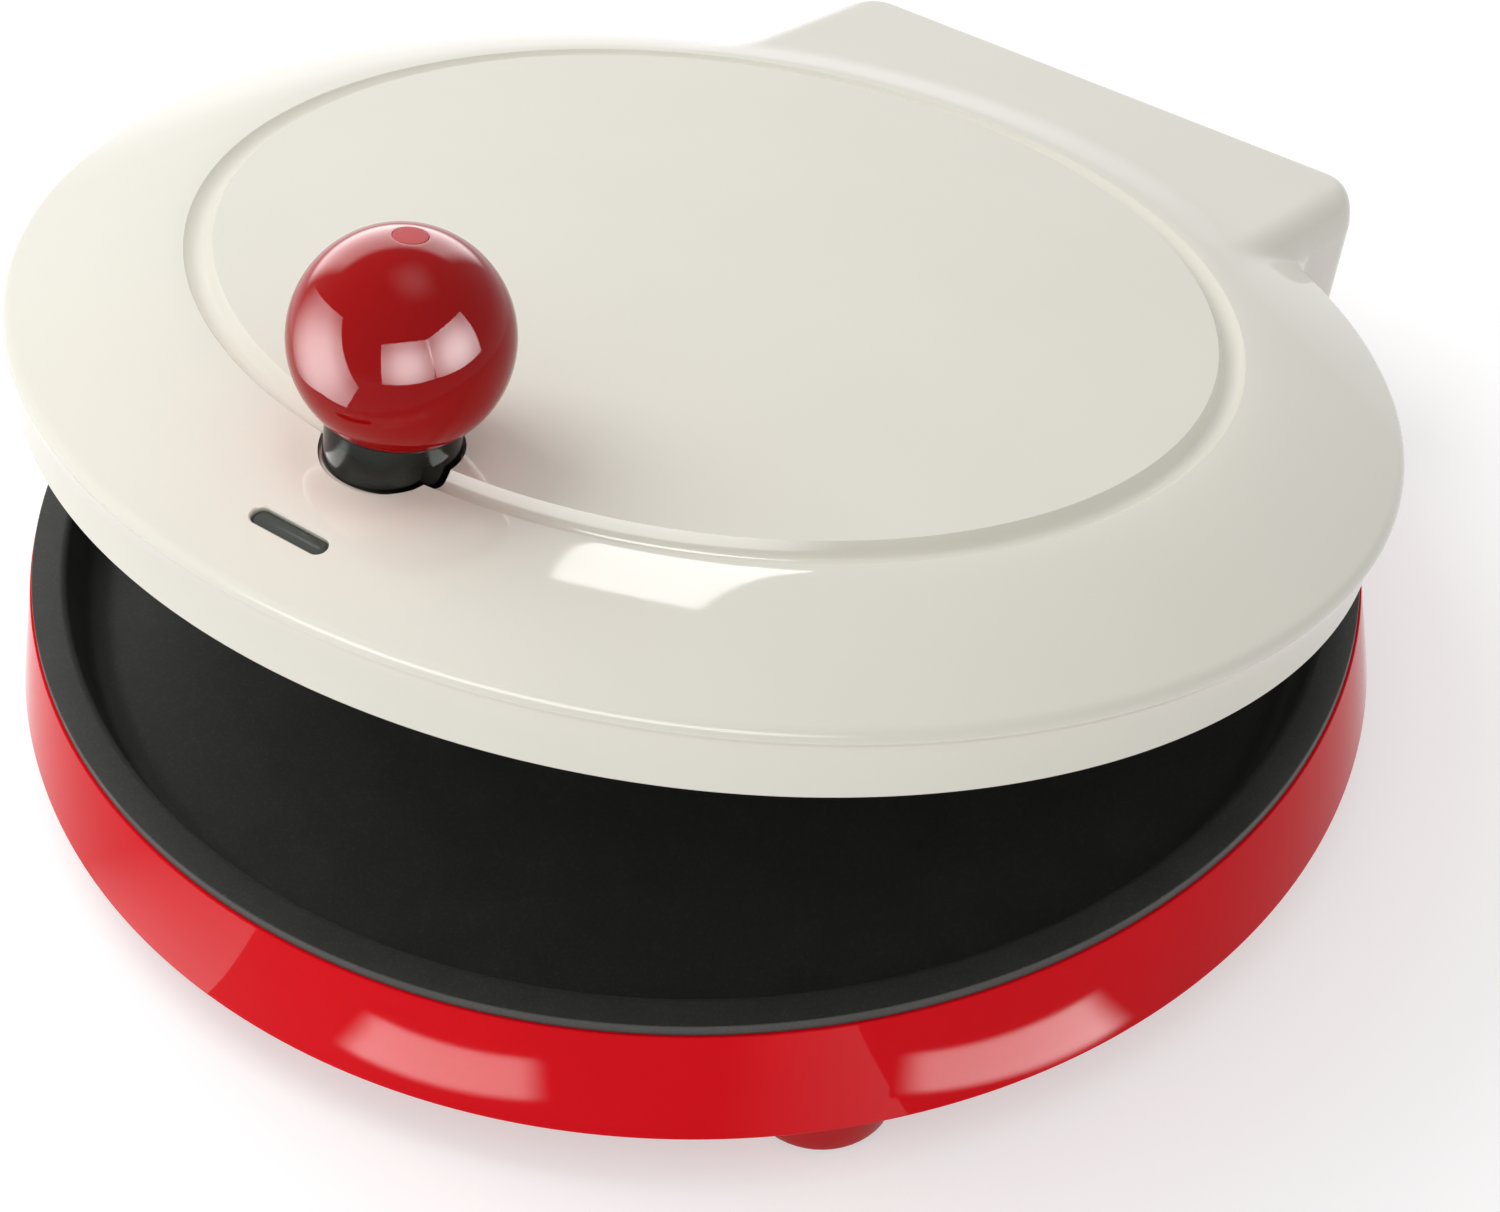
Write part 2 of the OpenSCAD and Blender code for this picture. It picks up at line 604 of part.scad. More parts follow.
module lid_inner() rotate_extrude($fn = 180) polygon(concat(
    [[0, -skirt_h - 1], [skirt_low_r - lid_wall, -skirt_h - 1], [lid_r - lid_wall - 0.8, -lid_wall]],
    [for (i = [1:10]) let (r = lid_r - i * (lid_r - groove_out_r) / 11) [r, ring_z(r) - lid_wall]],
    [[groove_out_r - 0.25 * groove_w, ring_h - groove_depth - lid_wall],
        [groove_in_r - 0.4 * lid_wall, ring_h - groove_depth - lid_wall]],
    [for (i = [1:8]) let (r = groove_in_r * (1 - i / 8)) [r, lid_z(r) - lid_wall]]));

// The hood's plan outline and side view, pulled in by inset
module hood_plan(inset) {
    r = hood_corner_r - inset;
    half = hood_w / 2 - inset;
    rear = hood_rear - inset;
    translate([-half, hood_front_y]) square([2 * half, rear - hood_front_y - r]);
    translate([-half + r, hood_front_y]) square([2 * (half - r), rear - hood_front_y]);
    for (s = [-1, 1]) translate([s * (half - r), rear - r]) circle(r = r);
}

// The hood seen from behind, its sides rounded over into its top
module hood_section(inset, low) {
    r = hood_shoulder_r - inset;
    half = hood_w / 2 - inset;
    z = hood_rear_z - hood_shoulder_r;
    right = concat([for (a = [0:30:60]) [half - r + r * cos(a), z + r * sin(a)]],
        [[half - r - 5 * r + r / 2, z + r * (sin(60) + 1.35)]]);
    polygon(concat([[-half, low - 1], [half, low - 1]], right,
        [for (i = [3:-1:0]) [-right[i][0], right[i][1]]]));
}

module hood_block(inset, low) intersection() {
    translate([0, 0, low]) linear_extrude(hood_front_z - low + 5) hood_plan(inset);
    x_prism(0, hood_w + 2) polygon([[hood_front_y - 1, low - 1], [hood_rear + 1, low - 1],
        [hood_rear + 1, hood_rear_z - inset], [hood_rear, hood_rear_z - inset],
        [groove_out_r, hood_front_z - inset], [hood_front_y - 1, hood_front_z - inset]]);
    translate([0, hood_rear + 2, 0]) rotate([90, 0, 0]) linear_extrude(hood_rear) hood_section(inset, low);
}

module lid_cover() at_lid() color("#e6e3da") difference() {
    union() {
        difference() {
            union() {
                lid_outer();
                difference() {
                    hood_block(0, -hood_side_h);
                    difference() {
                        hood_block(lid_wall, -hood_side_h - 1);
                        cylinder(r = lid_r, h = 4 * hood_side_h, center = true, $fn = 180);
                    }
                    translate([0, 0, -2 * hood_side_h - skirt_h])
                        cylinder(r = base_bottom_r + base_clear, h = 2 * hood_side_h, $fn = 180);
                    translate([-hood_w / 2 + hood_corner_w, hinge_y,
                        hinge_lid_z - hood_notch_drop - 2 * hood_side_h])
                        cube([hood_w - 2 * hood_corner_w, hood_reach, 2 * hood_side_h]);
                }
            }
            lid_inner();
        }
        for (p = POSTS) translate([p[0], p[1], plate_top_z + plate_seat_t])
            cylinder(r = boss_r, h = panel_z - plate_top_z - plate_seat_t - 1);
        for (p = HINGE_SCREWS) translate([p[0], p[1], hinge_plate_z + hinge_plate_t])
            cylinder(r = boss_r, h = hinge_boss_h + 1.2);
        translate([0, -knob_y, 0]) disc(seat_under_z, recess_depth + lid_wall - 1, recess_r + lid_wall);
    }
    for (p = POSTS) translate([p[0], p[1], plate_top_z]) cylinder(r = screw_r + 0.05, h = plate_screw_len);
    for (p = HINGE_SCREWS) translate([p[0], p[1], hinge_plate_z]) cylinder(r = screw_r + 0.05,
        h = hinge_plate_t + hinge_boss_h + 0.6);
    translate([0, -knob_y, seat_z]) cylinder(r = recess_r, h = 20);
    translate([0, -knob_y, 0]) cylinder(r = knob_screw_r + screw_clear, h = 30);
    at_indicator() slot_bar(lamp_len, lamp_w, -6, 12);
    translate([-wire_window / 2, lid_r - 18, lid_wire_z - 4.5]) cube([wire_window, 24, 8]);
}

// ---------------------------------------------------------------- upper plate

module upper_plate() at_lid() color("#1d1d1c") difference() {
    union() {
        rotate_extrude($fn = 180) polygon([[0, plate_under_z], [plate_floor_r, plate_under_z],
            [plate_mouth_r, plate_rim_z], [plate_rim_r, plate_rim_z], [plate_rim_r, plate_rim_z + plate_t],
            [plate_mouth_r + plate_t, plate_rim_z + plate_t], [plate_floor_r + plate_t, plate_top_z],
            [0, plate_top_z]]);
        for (p = POSTS) translate([p[0], p[1], plate_top_z - 0.5])
            cylinder(r = plate_post_r, h = upper_reflector_lift + 0.5);
    }
    for (p = POSTS) translate(p) {
        translate([0, 0, plate_top_z + plate_seat_t]) cylinder(r = boss_r + 0.2, h = 20);
        translate([0, 0, plate_under_z - 1]) cylinder(r = screw_r + screw_clear, h = 10);
        translate([0, 0, plate_under_z - 1]) cylinder(r = screw_head_r + 0.15, h = screw_head_h + 1);
    }
}

module plate_screws() at_lid() color("gray") for (p = POSTS) translate(p)
    small_screw(plate_under_z + screw_head_h, 1, plate_screw_len - screw_head_h);

module upper_heating_element() at_lid() color("#5b5450") element(plate_top_z + element_d / 2);

module upper_element_clips() at_lid() color("silver") element_clips(plate_top_z, 1);

module upper_reflector() at_lid() color("lightgray") reflector(upper_reflector_z, boss_r + 0.2);

// ---------------------------------------------------------------- electrics of the lid

module lid_terminal_block() at_lid() color("#e8e4d8") difference() {
    translate([-11, lid_block_y, hinge_plate_z - 6.5]) cube([22, 10, 6.5]);
    for (s = [-1, 1]) y_bar(s * lid_lead_x, lid_block_y - 1, lid_wire_z, wire_r + 0.05, 5);
}

module terminal_cover() at_lid() color("#d8d5cc") difference() {
    translate([-13, lid_block_y - 1, hinge_plate_z - 8.5]) cube([26, 13, 8.5]);
    translate([-11.3, lid_block_y - 2, hinge_plate_z - 7]) cube([22.6, 12.5, 8]);
}

module lid_wiring() at_lid() color("#c9b458") {
    z = plate_top_z + element_d / 2;
    lamp_line_y = lamp_y - neon_depth * sin(ring_slope(lamp_y));
    lamp_z = ring_z(lamp_y) - neon_depth * cos(ring_slope(lamp_y));
    over_z = upper_reflector_z + reflector_t + 2 * wire_r;
    for (s = [-1, 1]) {
        terminal_sleeve(s, z);
        wire([sleeve_point(s, sleeve_wire_len - wire_r, z), [-s * 12, lid_r - 15, lid_wire_z - 0.6],
            [-s * lid_lead_x, lid_r - 9, lid_wire_z], [-s * lid_lead_x, lid_block_y + 3, lid_wire_z]]);
        wire([[-s * (neon_len / 2 + wire_r / 3), -lamp_line_y, lamp_z],
            [-s * lamp_lead_x, -lamp_line_y, lamp_z],
            [-s * lamp_lead_x, -lamp_line_y + 8, over_z], [-s * lamp_lead_x, reflector_r + 3, over_z],
            sleeve_point(s, 1.5, z)]);
    }
}

module indicator_lens() at_lid() at_indicator() color("#4a524e") {
    slot_bar(lamp_len - 2 * lens_clear, lamp_w - 2 * lens_clear, -lens_seat - eps,
        lens_seat - lens_sink + eps);
    slot_bar(lamp_len + 4, lamp_w + 4, -lens_seat - lens_flange_t, lens_flange_t);
}

module lamp_holder() at_lid() at_indicator() color("#cfccc2") difference() {
    translate([-lamp_len / 2 - 2.5, -lamp_w / 2 - 2, -neon_depth - neon_r - 1])
        cube([lamp_len + 5, lamp_w + 4, neon_depth + neon_r + 1 - lens_seat - lens_flange_t]);
    translate([-lamp_len / 2, -neon_r - 0.1, -neon_depth - neon_r]) cube([lamp_len, 2 * neon_r + 0.2, 20]);
    translate([0, 0, -neon_depth]) rotate([0, 90, 0])
        cylinder(r = wire_r + 0.1, h = 3 * lamp_len, center = true);
}

module neon_lamp() at_lid() at_indicator() color("#e8a070") translate([-neon_len / 2, 0, -neon_depth])
    rotate([0, 90, 0]) cylinder(r = neon_r, h = neon_len);

// ---------------------------------------------------------------- knob

module knob_ball() at_lid() color("#8e1016") translate([0, -knob_y, 0]) difference() {
    translate([0, 0, ball_z]) sphere(r = ball_r, $fn = 120);
    translate([0, 0, ferrule_top_z - ball_r]) cylinder(r = ball_r, h = ball_r);
    translate([0, 0, ball_z + ball_r - cap_seat]) cylinder(r = cap_r, h = ball_r);
    translate([0, 0, seat_z]) cylinder(r = knob_screw_r + 0.05, h = knob_screw_reach + 1);
}

module knob_cap() at_lid() color("#7a1014") translate([0, -knob_y, 0])
    disc(ball_z + ball_r - cap_seat, cap_seat - 0.15, cap_r - 0.1);

module knob_ferrule() at_lid() color("#33383a") translate([0, -knob_y, 0]) difference() {
    rotate_extrude() polygon([[0, seat_z], [ferrule_r - 0.3, seat_z], [ferrule_r, seat_z + 0.3],
        [ferrule_r, ferrule_top_z - 0.6], [ferrule_r - 0.6, ferrule_top_z], [0, ferrule_top_z]]);
    translate([0, 0, seat_z - 1]) cylinder(r = knob_screw_r + screw_clear, h = 30);
}

module knob_screw() at_lid() color("silver") translate([0, -knob_y, 0]) {
    disc(seat_under_z - knob_washer_t - 3, 3, knob_screw_r + 2);
    disc(seat_under_z - knob_washer_t - 0.5, seat_z + knob_screw_reach - seat_under_z + knob_washer_t + 0.5,
        knob_screw_r);
}

module knob_washer() at_lid() color("#b7a98a") translate([0, -knob_y, 0])
    disc(seat_under_z - knob_washer_t, knob_washer_t, knob_screw_r + 5, knob_screw_r + screw_clear);

base_shell();
feet();
foot_pads();
foot_screws();
lower_pan();
pan_screws();
lower_heating_element();
lower_element_clips();
lower_reflector();
thermostat();
thermal_fuse();
base_terminal_block();
base_wiring();
cord_gland();
hinge_pin();
friction_washers();
pin_circlips();
lid_cover();
upper_plate();
plate_screws();
upper_heating_element();
upper_element_clips();
upper_reflector();
lid_wiring();
lid_terminal_block();
terminal_cover();
hinge_plate();
hinge_plate_screws();
indicator_lens();
lamp_holder();
neon_lamp();
knob_ball();
knob_cap();
knob_ferrule();
knob_screw();
knob_washer();
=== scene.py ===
"""Countertop pizza maker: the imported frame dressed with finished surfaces, in a plain white studio.

The frame gives every solid its place. The lid cover, the knob, the indicator's lens, the pan and the
base shell are built here again as fine surfaces, and the other solids keep their shape and get a finish.
All lengths in the classes are millimetres; meshes are written in metres.
"""
import logging
import math
from dataclasses import dataclass
from enum import Enum

import bpy
import numpy as np
from mathutils import Matrix, Vector


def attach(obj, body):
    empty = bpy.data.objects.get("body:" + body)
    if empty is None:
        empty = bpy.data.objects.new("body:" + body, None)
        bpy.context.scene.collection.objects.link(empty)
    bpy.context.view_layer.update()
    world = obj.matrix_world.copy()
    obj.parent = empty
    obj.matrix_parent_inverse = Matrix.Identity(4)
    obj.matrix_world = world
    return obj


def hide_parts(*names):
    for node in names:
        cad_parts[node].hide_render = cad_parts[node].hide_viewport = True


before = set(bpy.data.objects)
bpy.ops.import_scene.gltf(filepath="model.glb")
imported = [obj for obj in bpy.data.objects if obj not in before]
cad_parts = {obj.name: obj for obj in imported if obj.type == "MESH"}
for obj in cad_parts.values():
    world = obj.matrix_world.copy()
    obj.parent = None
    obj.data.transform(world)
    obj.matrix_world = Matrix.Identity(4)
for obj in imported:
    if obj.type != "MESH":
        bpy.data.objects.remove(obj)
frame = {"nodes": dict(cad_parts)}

LOG = logging.getLogger("pizza_maker")
MM = 0.001


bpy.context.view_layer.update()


def linear(red: int, green: int, blue: int) -> tuple[float, float, float, float]:
    """Converts a screen colour of 0 to 255 a channel into the linear colour that a shader takes.

    Args:
        red, green, blue: the channels.

    Returns:
        Linear red, green, blue and an alpha of 1.
    """
    channels = np.array([red, green, blue]) / 255.0
    low = channels / 12.92
    high = ((channels + 0.055) / 1.055) ** 2.4
    return (*np.where(channels <= 0.04045, low, high).tolist(), 1.0)


def smooth_step(value: np.ndarray) -> np.ndarray:
    """Rises smoothly from 0 to 1 as value goes from 0 to 1: 3v^2 - 2v^3."""
    v = np.clip(value, 0.0, 1.0)
    return v * v * (3.0 - 2.0 * v)


# ------------------------------------------------------------------------------------------ places

class Place(Enum):
    """The two sets of coordinates that the sizes are given in."""

    COOKER = "cooker"
    LID = "lid"


@dataclass(frozen=True)
class Hinge:
    """The hinge line, and the angle at which the lid stands in the stored pose.

    origin_y is the distance from the frame's origin back to the pan's axis, reach the distance from the
    pan's axis back to the hinge line, height its height over the table, lid_height its height in the
    lid's own coordinates, and open_angle the lid's angle in degrees.
    """

    origin_y: float = 11.4371
    reach: float = 174.0
    height: float = 48.9
    lid_height: float = -15.5
    open_angle: float = 12.0

    def to_frame(self, points: np.ndarray, place: Place) -> np.ndarray:
        """Moves points from cooker or lid coordinates into the frame.

        A lid point turns about the hinge line by the lid's angle, and both move back by origin_y.

        Args:
            points: an array of points, in millimetres.
            place: the coordinates that the points are in.

        Returns:
            The same points in metres in the frame.
        """
        out = np.array(points, dtype=float)
        if place is Place.LID:
            turn = math.radians(self.open_angle)
            back, up = out[..., 1] - self.reach, out[..., 2] - self.lid_height
            out[..., 1] = back * math.cos(turn) + up * math.sin(turn) + self.reach
            out[..., 2] = up * math.cos(turn) - back * math.sin(turn) + self.height
        out[..., 1] -= self.origin_y
        return out * MM


HINGE = Hinge()


# ------------------------------------------------------------------------------------------ meshes

def grid_faces(rows: int, columns: int, wrap_rows: bool = False) -> np.ndarray:
    """Quads between neighbouring rows of points whose columns close into a ring.

    Args:
        rows: number of rows.
        columns: number of points in a row.
        wrap_rows: True if the last row joins the first.

    Returns:
        An array of four indices a face.
    """
    last = rows if wrap_rows else rows - 1
    row, column = np.meshgrid(np.arange(last), np.arange(columns), indexing="ij")
    after, side = (row + 1) % rows, (column + 1) % columns
    corners = (row * columns + column, row * columns + side, after * columns + side, after * columns + column)
    return np.stack([c.ravel() for c in corners], axis=1)


def make_mesh(name: str, points: np.ndarray, faces: list, sharp_angle: float = 35.0) -> bpy.types.Object:
    """Makes a smooth-shaded mesh object whose place is in its vertices.

    Args:
        name: the piece's name.
        points: its points in metres, in the frame.
        faces: lists of indices.
        sharp_angle: edges that turn by more degrees than this stay crisp.

    Returns:
        The new object, at the origin.
    """
    mesh = bpy.data.meshes.new(name)
    mesh.from_pydata(points.reshape(-1, 3).tolist(), [], faces)
    mesh.polygons.foreach_set("use_smooth", [True] * len(mesh.polygons))
    mesh.set_sharp_from_angle(angle=math.radians(sharp_angle))
    mesh.update()
    piece = bpy.data.objects.new(name, mesh)
    bpy.context.scene.collection.objects.link(piece)
    return piece


def closed_rings(rings: np.ndarray, start: np.ndarray | None, end: np.ndarray | None) -> tuple:
    """Joins rings of points into a closed skin, with a pole at either end or joined end to end.

    Args:
        rings: points as rows, columns and coordinates.
        start: the pole before the first ring, or None.
        end: the pole after the last ring, or None.

    Returns:
        The points and the faces, which point outwards when the rings run anticlockwise seen from
        the start and the start is on top.
    """
    rows, columns = rings.shape[:2]
    points = rings.reshape(-1, 3)
    poles = start is not None
    faces = grid_faces(rows, columns, not poles)[:, ::-1].tolist()
    if poles:
        here = np.arange(columns)
        after = (here + 1) % columns
        top, low = len(points), len(points) + 1
        first = np.stack([np.full(columns, top), here, after], axis=1)
        base = (rows - 1) * columns
        last = np.stack([np.full(columns, low), base + after, base + here], axis=1)
        faces += first.tolist() + last.tolist()
        points = np.vstack([points, start, end])
    return points, faces


def rounded_line(corners: list, steps: int = 6) -> np.ndarray:
    """A line through corners, each rounded by its own radius.

    A corner is replaced by a curve that leaves and meets its two sides at the radius's tangent
    points: point = (1-t)^2 before + 2t(1-t) corner + t^2 after.

    Args:
        corners: (distance from the axis, height, rounding radius) of each corner.
        steps: points along each rounding.

    Returns:
        The line's points as distance and height.
    """
    line = []
    last = len(corners) - 1
    for index, (r, z, radius) in enumerate(corners):
        here = np.array([r, z], dtype=float)
        if radius <= 0 or index in (0, last):
            line.append(here[None])
            continue
        before, after = np.array(corners[index - 1][:2]), np.array(corners[index + 1][:2])
        to_before, to_after = before - here, after - here
        reach_before = min(radius, 0.49 * np.linalg.norm(to_before))
        reach_after = min(radius, 0.49 * np.linalg.norm(to_after))
        start = here + to_before / np.linalg.norm(to_before) * reach_before
        end = here + to_after / np.linalg.norm(to_after) * reach_after
        t = np.linspace(0.0, 1.0, steps)[:, None]
        line.append((1 - t) ** 2 * start + 2 * t * (1 - t) * here + t ** 2 * end)
    return np.vstack(line)


def revolve(name: str, line: np.ndarray, place: Place, centre: tuple = (0.0, 0.0), segments: int = 160,
            sharp_angle: float = 35.0) -> bpy.types.Object:
    """Carries a profile round an upright axis: x = r cos a, y = r sin a, z = z.

    Args:
        name: the piece's name.
        line: the profile, from the top round to the underside. It ends on the axis or closes on itself.
        place: the coordinates that the profile is in.
        centre: where the axis stands.
        segments: points round the axis.
        sharp_angle: edges that turn by more degrees than this stay crisp.

    Returns:
        The new object.
    """
    angle = np.linspace(0.0, 2 * math.pi, segments, endpoint=False)
    on_axis = line[0, 0] < 1e-6
    body = line[1:-1] if on_axis else line
    rings = np.stack([centre[0] + body[:, :1] * np.cos(angle), centre[1] + body[:, :1] * np.sin(angle),
                      np.repeat(body[:, 1:], segments, axis=1)], axis=-1)
    start = np.array([*centre, line[0, 1]]) if on_axis else None
    end = np.array([*centre, line[-1, 1]]) if on_axis else None
    points, faces = closed_rings(rings, start, end)
    return make_mesh(name, HINGE.to_frame(points, place), faces, sharp_angle)


def prism(name: str, outline: np.ndarray, low: float, high: float) -> bpy.types.Object:
    """A straight-sided cutter or bar: an outline in X and Y between two heights, in frame metres.

    Args:
        name: the piece's name.
        outline: points as X and Y, anticlockwise.
        low, high: its two heights.

    Returns:
        The new object.
    """
    count = len(outline)
    rings = np.stack([np.column_stack([outline, np.full(count, z)]) for z in (high, low)])
    faces = grid_faces(2, count)[:, ::-1].tolist()
    faces += [list(range(count)), list(range(2 * count - 1, count - 1, -1))]
    return make_mesh(name, rings, faces)


def cut(piece: bpy.types.Object, cutters: list, sharp_angle: float = 35.0) -> None:
    """Cuts closed shapes out of a piece, for good.

    Args:
        piece: the piece to cut.
        cutters: closed mesh objects, which are removed afterwards.
        sharp_angle: edges that turn by more degrees than this stay crisp.
    """
    tools = bpy.data.collections.new("cutters")
    for cutter in cutters:
        tools.objects.link(cutter)
    modifier = piece.modifiers.new("cut", "BOOLEAN")
    modifier.operation, modifier.operand_type, modifier.solver = "DIFFERENCE", "COLLECTION", "EXACT"
    modifier.collection = tools
    bpy.context.view_layer.update()
    seen = piece.evaluated_get(bpy.context.evaluated_depsgraph_get())
    mesh = bpy.data.meshes.new_from_object(seen)
    piece.modifiers.clear()
    piece.data = mesh
    for cutter in cutters:
        bpy.data.objects.remove(cutter)
    bpy.data.collections.remove(tools)
    piece.data.polygons.foreach_set("use_smooth", [True] * len(piece.data.polygons))
    piece.data.set_sharp_from_angle(angle=math.radians(sharp_angle))
    piece.data.materials.clear()


# ------------------------------------------------------------------------------------------ finishes

class Shader:
    """A material with one Principled surface, and short ways to add the nodes that vary it."""

    def __init__(self, name: str) -> None:
        """Makes the material.

        Args:
            name: the material's name.
        """
        self.material = bpy.data.materials.new(name)
        self.material.use_nodes = True
        self.tree = self.material.node_tree
        self.tree.nodes.clear()
        output = self.tree.nodes.new("ShaderNodeOutputMaterial")
        self.surface = self.tree.nodes.new("ShaderNodeBsdfPrincipled")
        self.tree.links.new(self.surface.outputs[0], output.inputs[0])
        self.places = self.tree.nodes.new("ShaderNodeTexCoord").outputs["Object"]

    def set(self, **values: object) -> None:
        """Sets the Principled surface's own sockets, with _ for a space in their names."""
        for key, value in values.items():
            self.surface.inputs[key.replace("_", " ")].default_value = value

    def link(self, source: bpy.types.NodeSocket, socket: str) -> None:
        """Feeds a socket of the Principled surface."""
        self.tree.links.new(source, self.surface.inputs[socket])

    def noise(self, scale: float, detail: float = 3.0,
              stretch: tuple = (1.0, 1.0, 1.0)) -> bpy.types.NodeSocket:
        """A cloudy pattern over the piece's own coordinates.

        Args:
            scale: how many clouds a metre holds.
            detail: octaves of finer clouds.
            stretch: factor on each coordinate, for lines instead of clouds.

        Returns:
            The pattern's value, about 0.5 on average.
        """
        mapping = self.tree.nodes.new("ShaderNodeMapping")
        mapping.inputs["Scale"].default_value = stretch
        node = self.tree.nodes.new("ShaderNodeTexNoise")
        node.inputs["Scale"].default_value = scale
        node.inputs["Detail"].default_value = detail
        self.tree.links.new(self.places, mapping.inputs[0])
        self.tree.links.new(mapping.outputs[0], node.inputs["Vector"])
        return node.outputs["Fac"]

    def spread(self, source: bpy.types.NodeSocket, low: float, high: float, start: float = 0.3,
               end: float = 0.7) -> bpy.types.NodeSocket:
        """Maps a pattern's values from start..end onto low..high.

        Args:
            source: the pattern.
            low, high: the new limits.
            start, end: the pattern's limits.

        Returns:
            The mapped value.
        """
        node = self.tree.nodes.new("ShaderNodeMapRange")
        for key, value in (("From Min", start), ("From Max", end), ("To Min", low), ("To Max", high)):
            node.inputs[key].default_value = value
        self.tree.links.new(source, node.inputs["Value"])
        return node.outputs["Result"]

    def tint(self, factor: bpy.types.NodeSocket, first: tuple, second: tuple) -> None:
        """Lets the base colour run between two colours.

        Args:
            factor: 0 for the first, 1 for the second.
            first, second: linear colours.
        """
        node = self.tree.nodes.new("ShaderNodeMix")
        node.data_type = "RGBA"
        colours = [s for s in node.inputs if s.type == "RGBA"]
        colours[0].default_value, colours[1].default_value = first, second
        self.tree.links.new(factor, node.inputs[0])
        result = [s for s in node.outputs if s.type == "RGBA"][0]
        self.link(result, "Base Color")

    def cloud(self, scale: float, detail: float, first: tuple, second: tuple) -> None:
        """Lets the base colour run between two colours in clouds.

        Args:
            scale: how many clouds a metre holds.
            detail: octaves of finer clouds.
            first, second: linear colours.
        """
        self.tint(self.spread(self.noise(scale, detail), 0.0, 1.0), first, second)

    def vary_roughness(self, pattern: bpy.types.NodeSocket, roughness: float, low: float,
                       high: float) -> None:
        """Lets the roughness vary about a value.

        Args:
            pattern: the pattern that it follows.
            roughness: the middle value.
            low, high: the smallest and largest value, as factors of it.
        """
        self.link(self.spread(pattern, roughness * low, min(1.0, roughness * high)), "Roughness")

    def relief(self, height: bpy.types.NodeSocket, strength: float, distance: float) -> None:
        """Adds a fine relief to the surface.

        Args:
            height: the pattern of the relief.
            strength: 0 to 1.
            distance: its depth in metres.
        """
        node = self.tree.nodes.new("ShaderNodeBump")
        node.inputs["Strength"].default_value = strength
        node.inputs["Distance"].default_value = distance
        self.tree.links.new(height, node.inputs["Height"])
        self.tree.links.new(node.outputs[0], self.surface.inputs["Normal"])


def scaled(colour: tuple, factor: float) -> tuple:
    """A linear colour made darker or lighter by a factor, with alpha kept at 1."""
    return (*[min(1.0, c * factor) for c in colour[:3]], 1.0)


@dataclass(frozen=True)
class MouldedPlastic:
    """Moulded plastic: slight clouding of the colour, a faint orange peel and a varying gloss."""

    name: str
    colour: tuple
    roughness: float = 0.12
    specular: float = 0.5
    clouding: float = 0.04
    peel: float = 0.06
    peel_scale: float = 420.0

    def build(self) -> bpy.types.Material:
        """Makes the material.

        Returns:
            The material.
        """
        s = Shader(self.name)
        s.set(Roughness=self.roughness, Specular_IOR_Level=self.specular)
        s.cloud(22.0, 4.0, scaled(self.colour, 1 - self.clouding), scaled(self.colour, 1 + self.clouding))
        s.vary_roughness(s.noise(60.0, 5.0), self.roughness, 0.85, 1.2)
        s.relief(s.noise(self.peel_scale, 2.0), self.peel, distance=0.0001)
        return s.material


@dataclass(frozen=True)
class NonStick:
    """Dark non-stick coating on pressed aluminium: satin, with a fine fleck and a soft grain."""

    name: str
    colour: tuple
    roughness: float = 0.36
    fleck: float = 1.5

    def build(self) -> bpy.types.Material:
        """Makes the material.

        Returns:
            The material.
        """
        s = Shader(self.name)
        s.set(Specular_IOR_Level=0.6)
        flecks = s.spread(s.noise(1600.0, 2.0), 0.0, 1.0, start=0.52, end=0.72)
        s.tint(flecks, self.colour, scaled(self.colour, self.fleck))
        s.vary_roughness(s.noise(90.0, 5.0), self.roughness, 0.88, 1.15)
        s.relief(s.noise(2200.0, 2.0), strength=0.12, distance=0.00006)
        return s.material


@dataclass(frozen=True)
class Metal:
    """Bare or plated metal with fine lines from rolling or turning, and dull patches."""

    name: str
    colour: tuple
    roughness: float = 0.3
    lines: tuple = (1.0, 1.0, 30.0)
    line_depth: float = 0.08
    dulling: float = 0.25

    def build(self) -> bpy.types.Material:
        """Makes the material.

        Returns:
            The material.
        """
        s = Shader(self.name)
        s.set(Metallic=1.0)
        s.cloud(35.0, 5.0, scaled(self.colour, 1 - self.dulling), self.colour)
        lines = s.noise(90.0, 4.0, self.lines)
        s.vary_roughness(lines, self.roughness, 0.75, 1.3)
        s.relief(lines, self.line_depth, distance=0.00008)
        return s.material


@dataclass(frozen=True)
class Matte:
    """Rubber, ceramic, bakelite, sleeve or pressed board: matte, with a grain and a clouded colour."""

    name: str
    colour: tuple
    roughness: float = 0.7
    grain: float = 900.0
    depth: float = 0.2
    clouding: float = 0.12

    def build(self) -> bpy.types.Material:
        """Makes the material.

        Returns:
            The material.
        """
        s = Shader(self.name)
        s.cloud(60.0, 4.0, scaled(self.colour, 1 - self.clouding), scaled(self.colour, 1 + self.clouding))
        s.vary_roughness(s.noise(self.grain), self.roughness, 0.9, 1.1)
        s.relief(s.noise(self.grain), self.depth, distance=0.0001)
        return s.material


@dataclass(frozen=True)
class Tinted:
    """Clear or smoked plastic or glass."""

    name: str
    colour: tuple
    roughness: float = 0.08
    transmission: float = 0.6
    specular: float = 0.5

    def build(self) -> bpy.types.Material:
        """Makes the material.

        Returns:
            The material.
        """
        s = Shader(self.name)
        s.set(Transmission_Weight=self.transmission, IOR=1.49, Specular_IOR_Level=self.specular)
        s.cloud(120.0, 3.0, scaled(self.colour, 0.92), scaled(self.colour, 1.08))
        s.vary_roughness(s.noise(300.0), self.roughness, 0.8, 1.3)
        s.relief(s.noise(500.0, 2.0), strength=0.04, distance=0.00005)
        return s.material


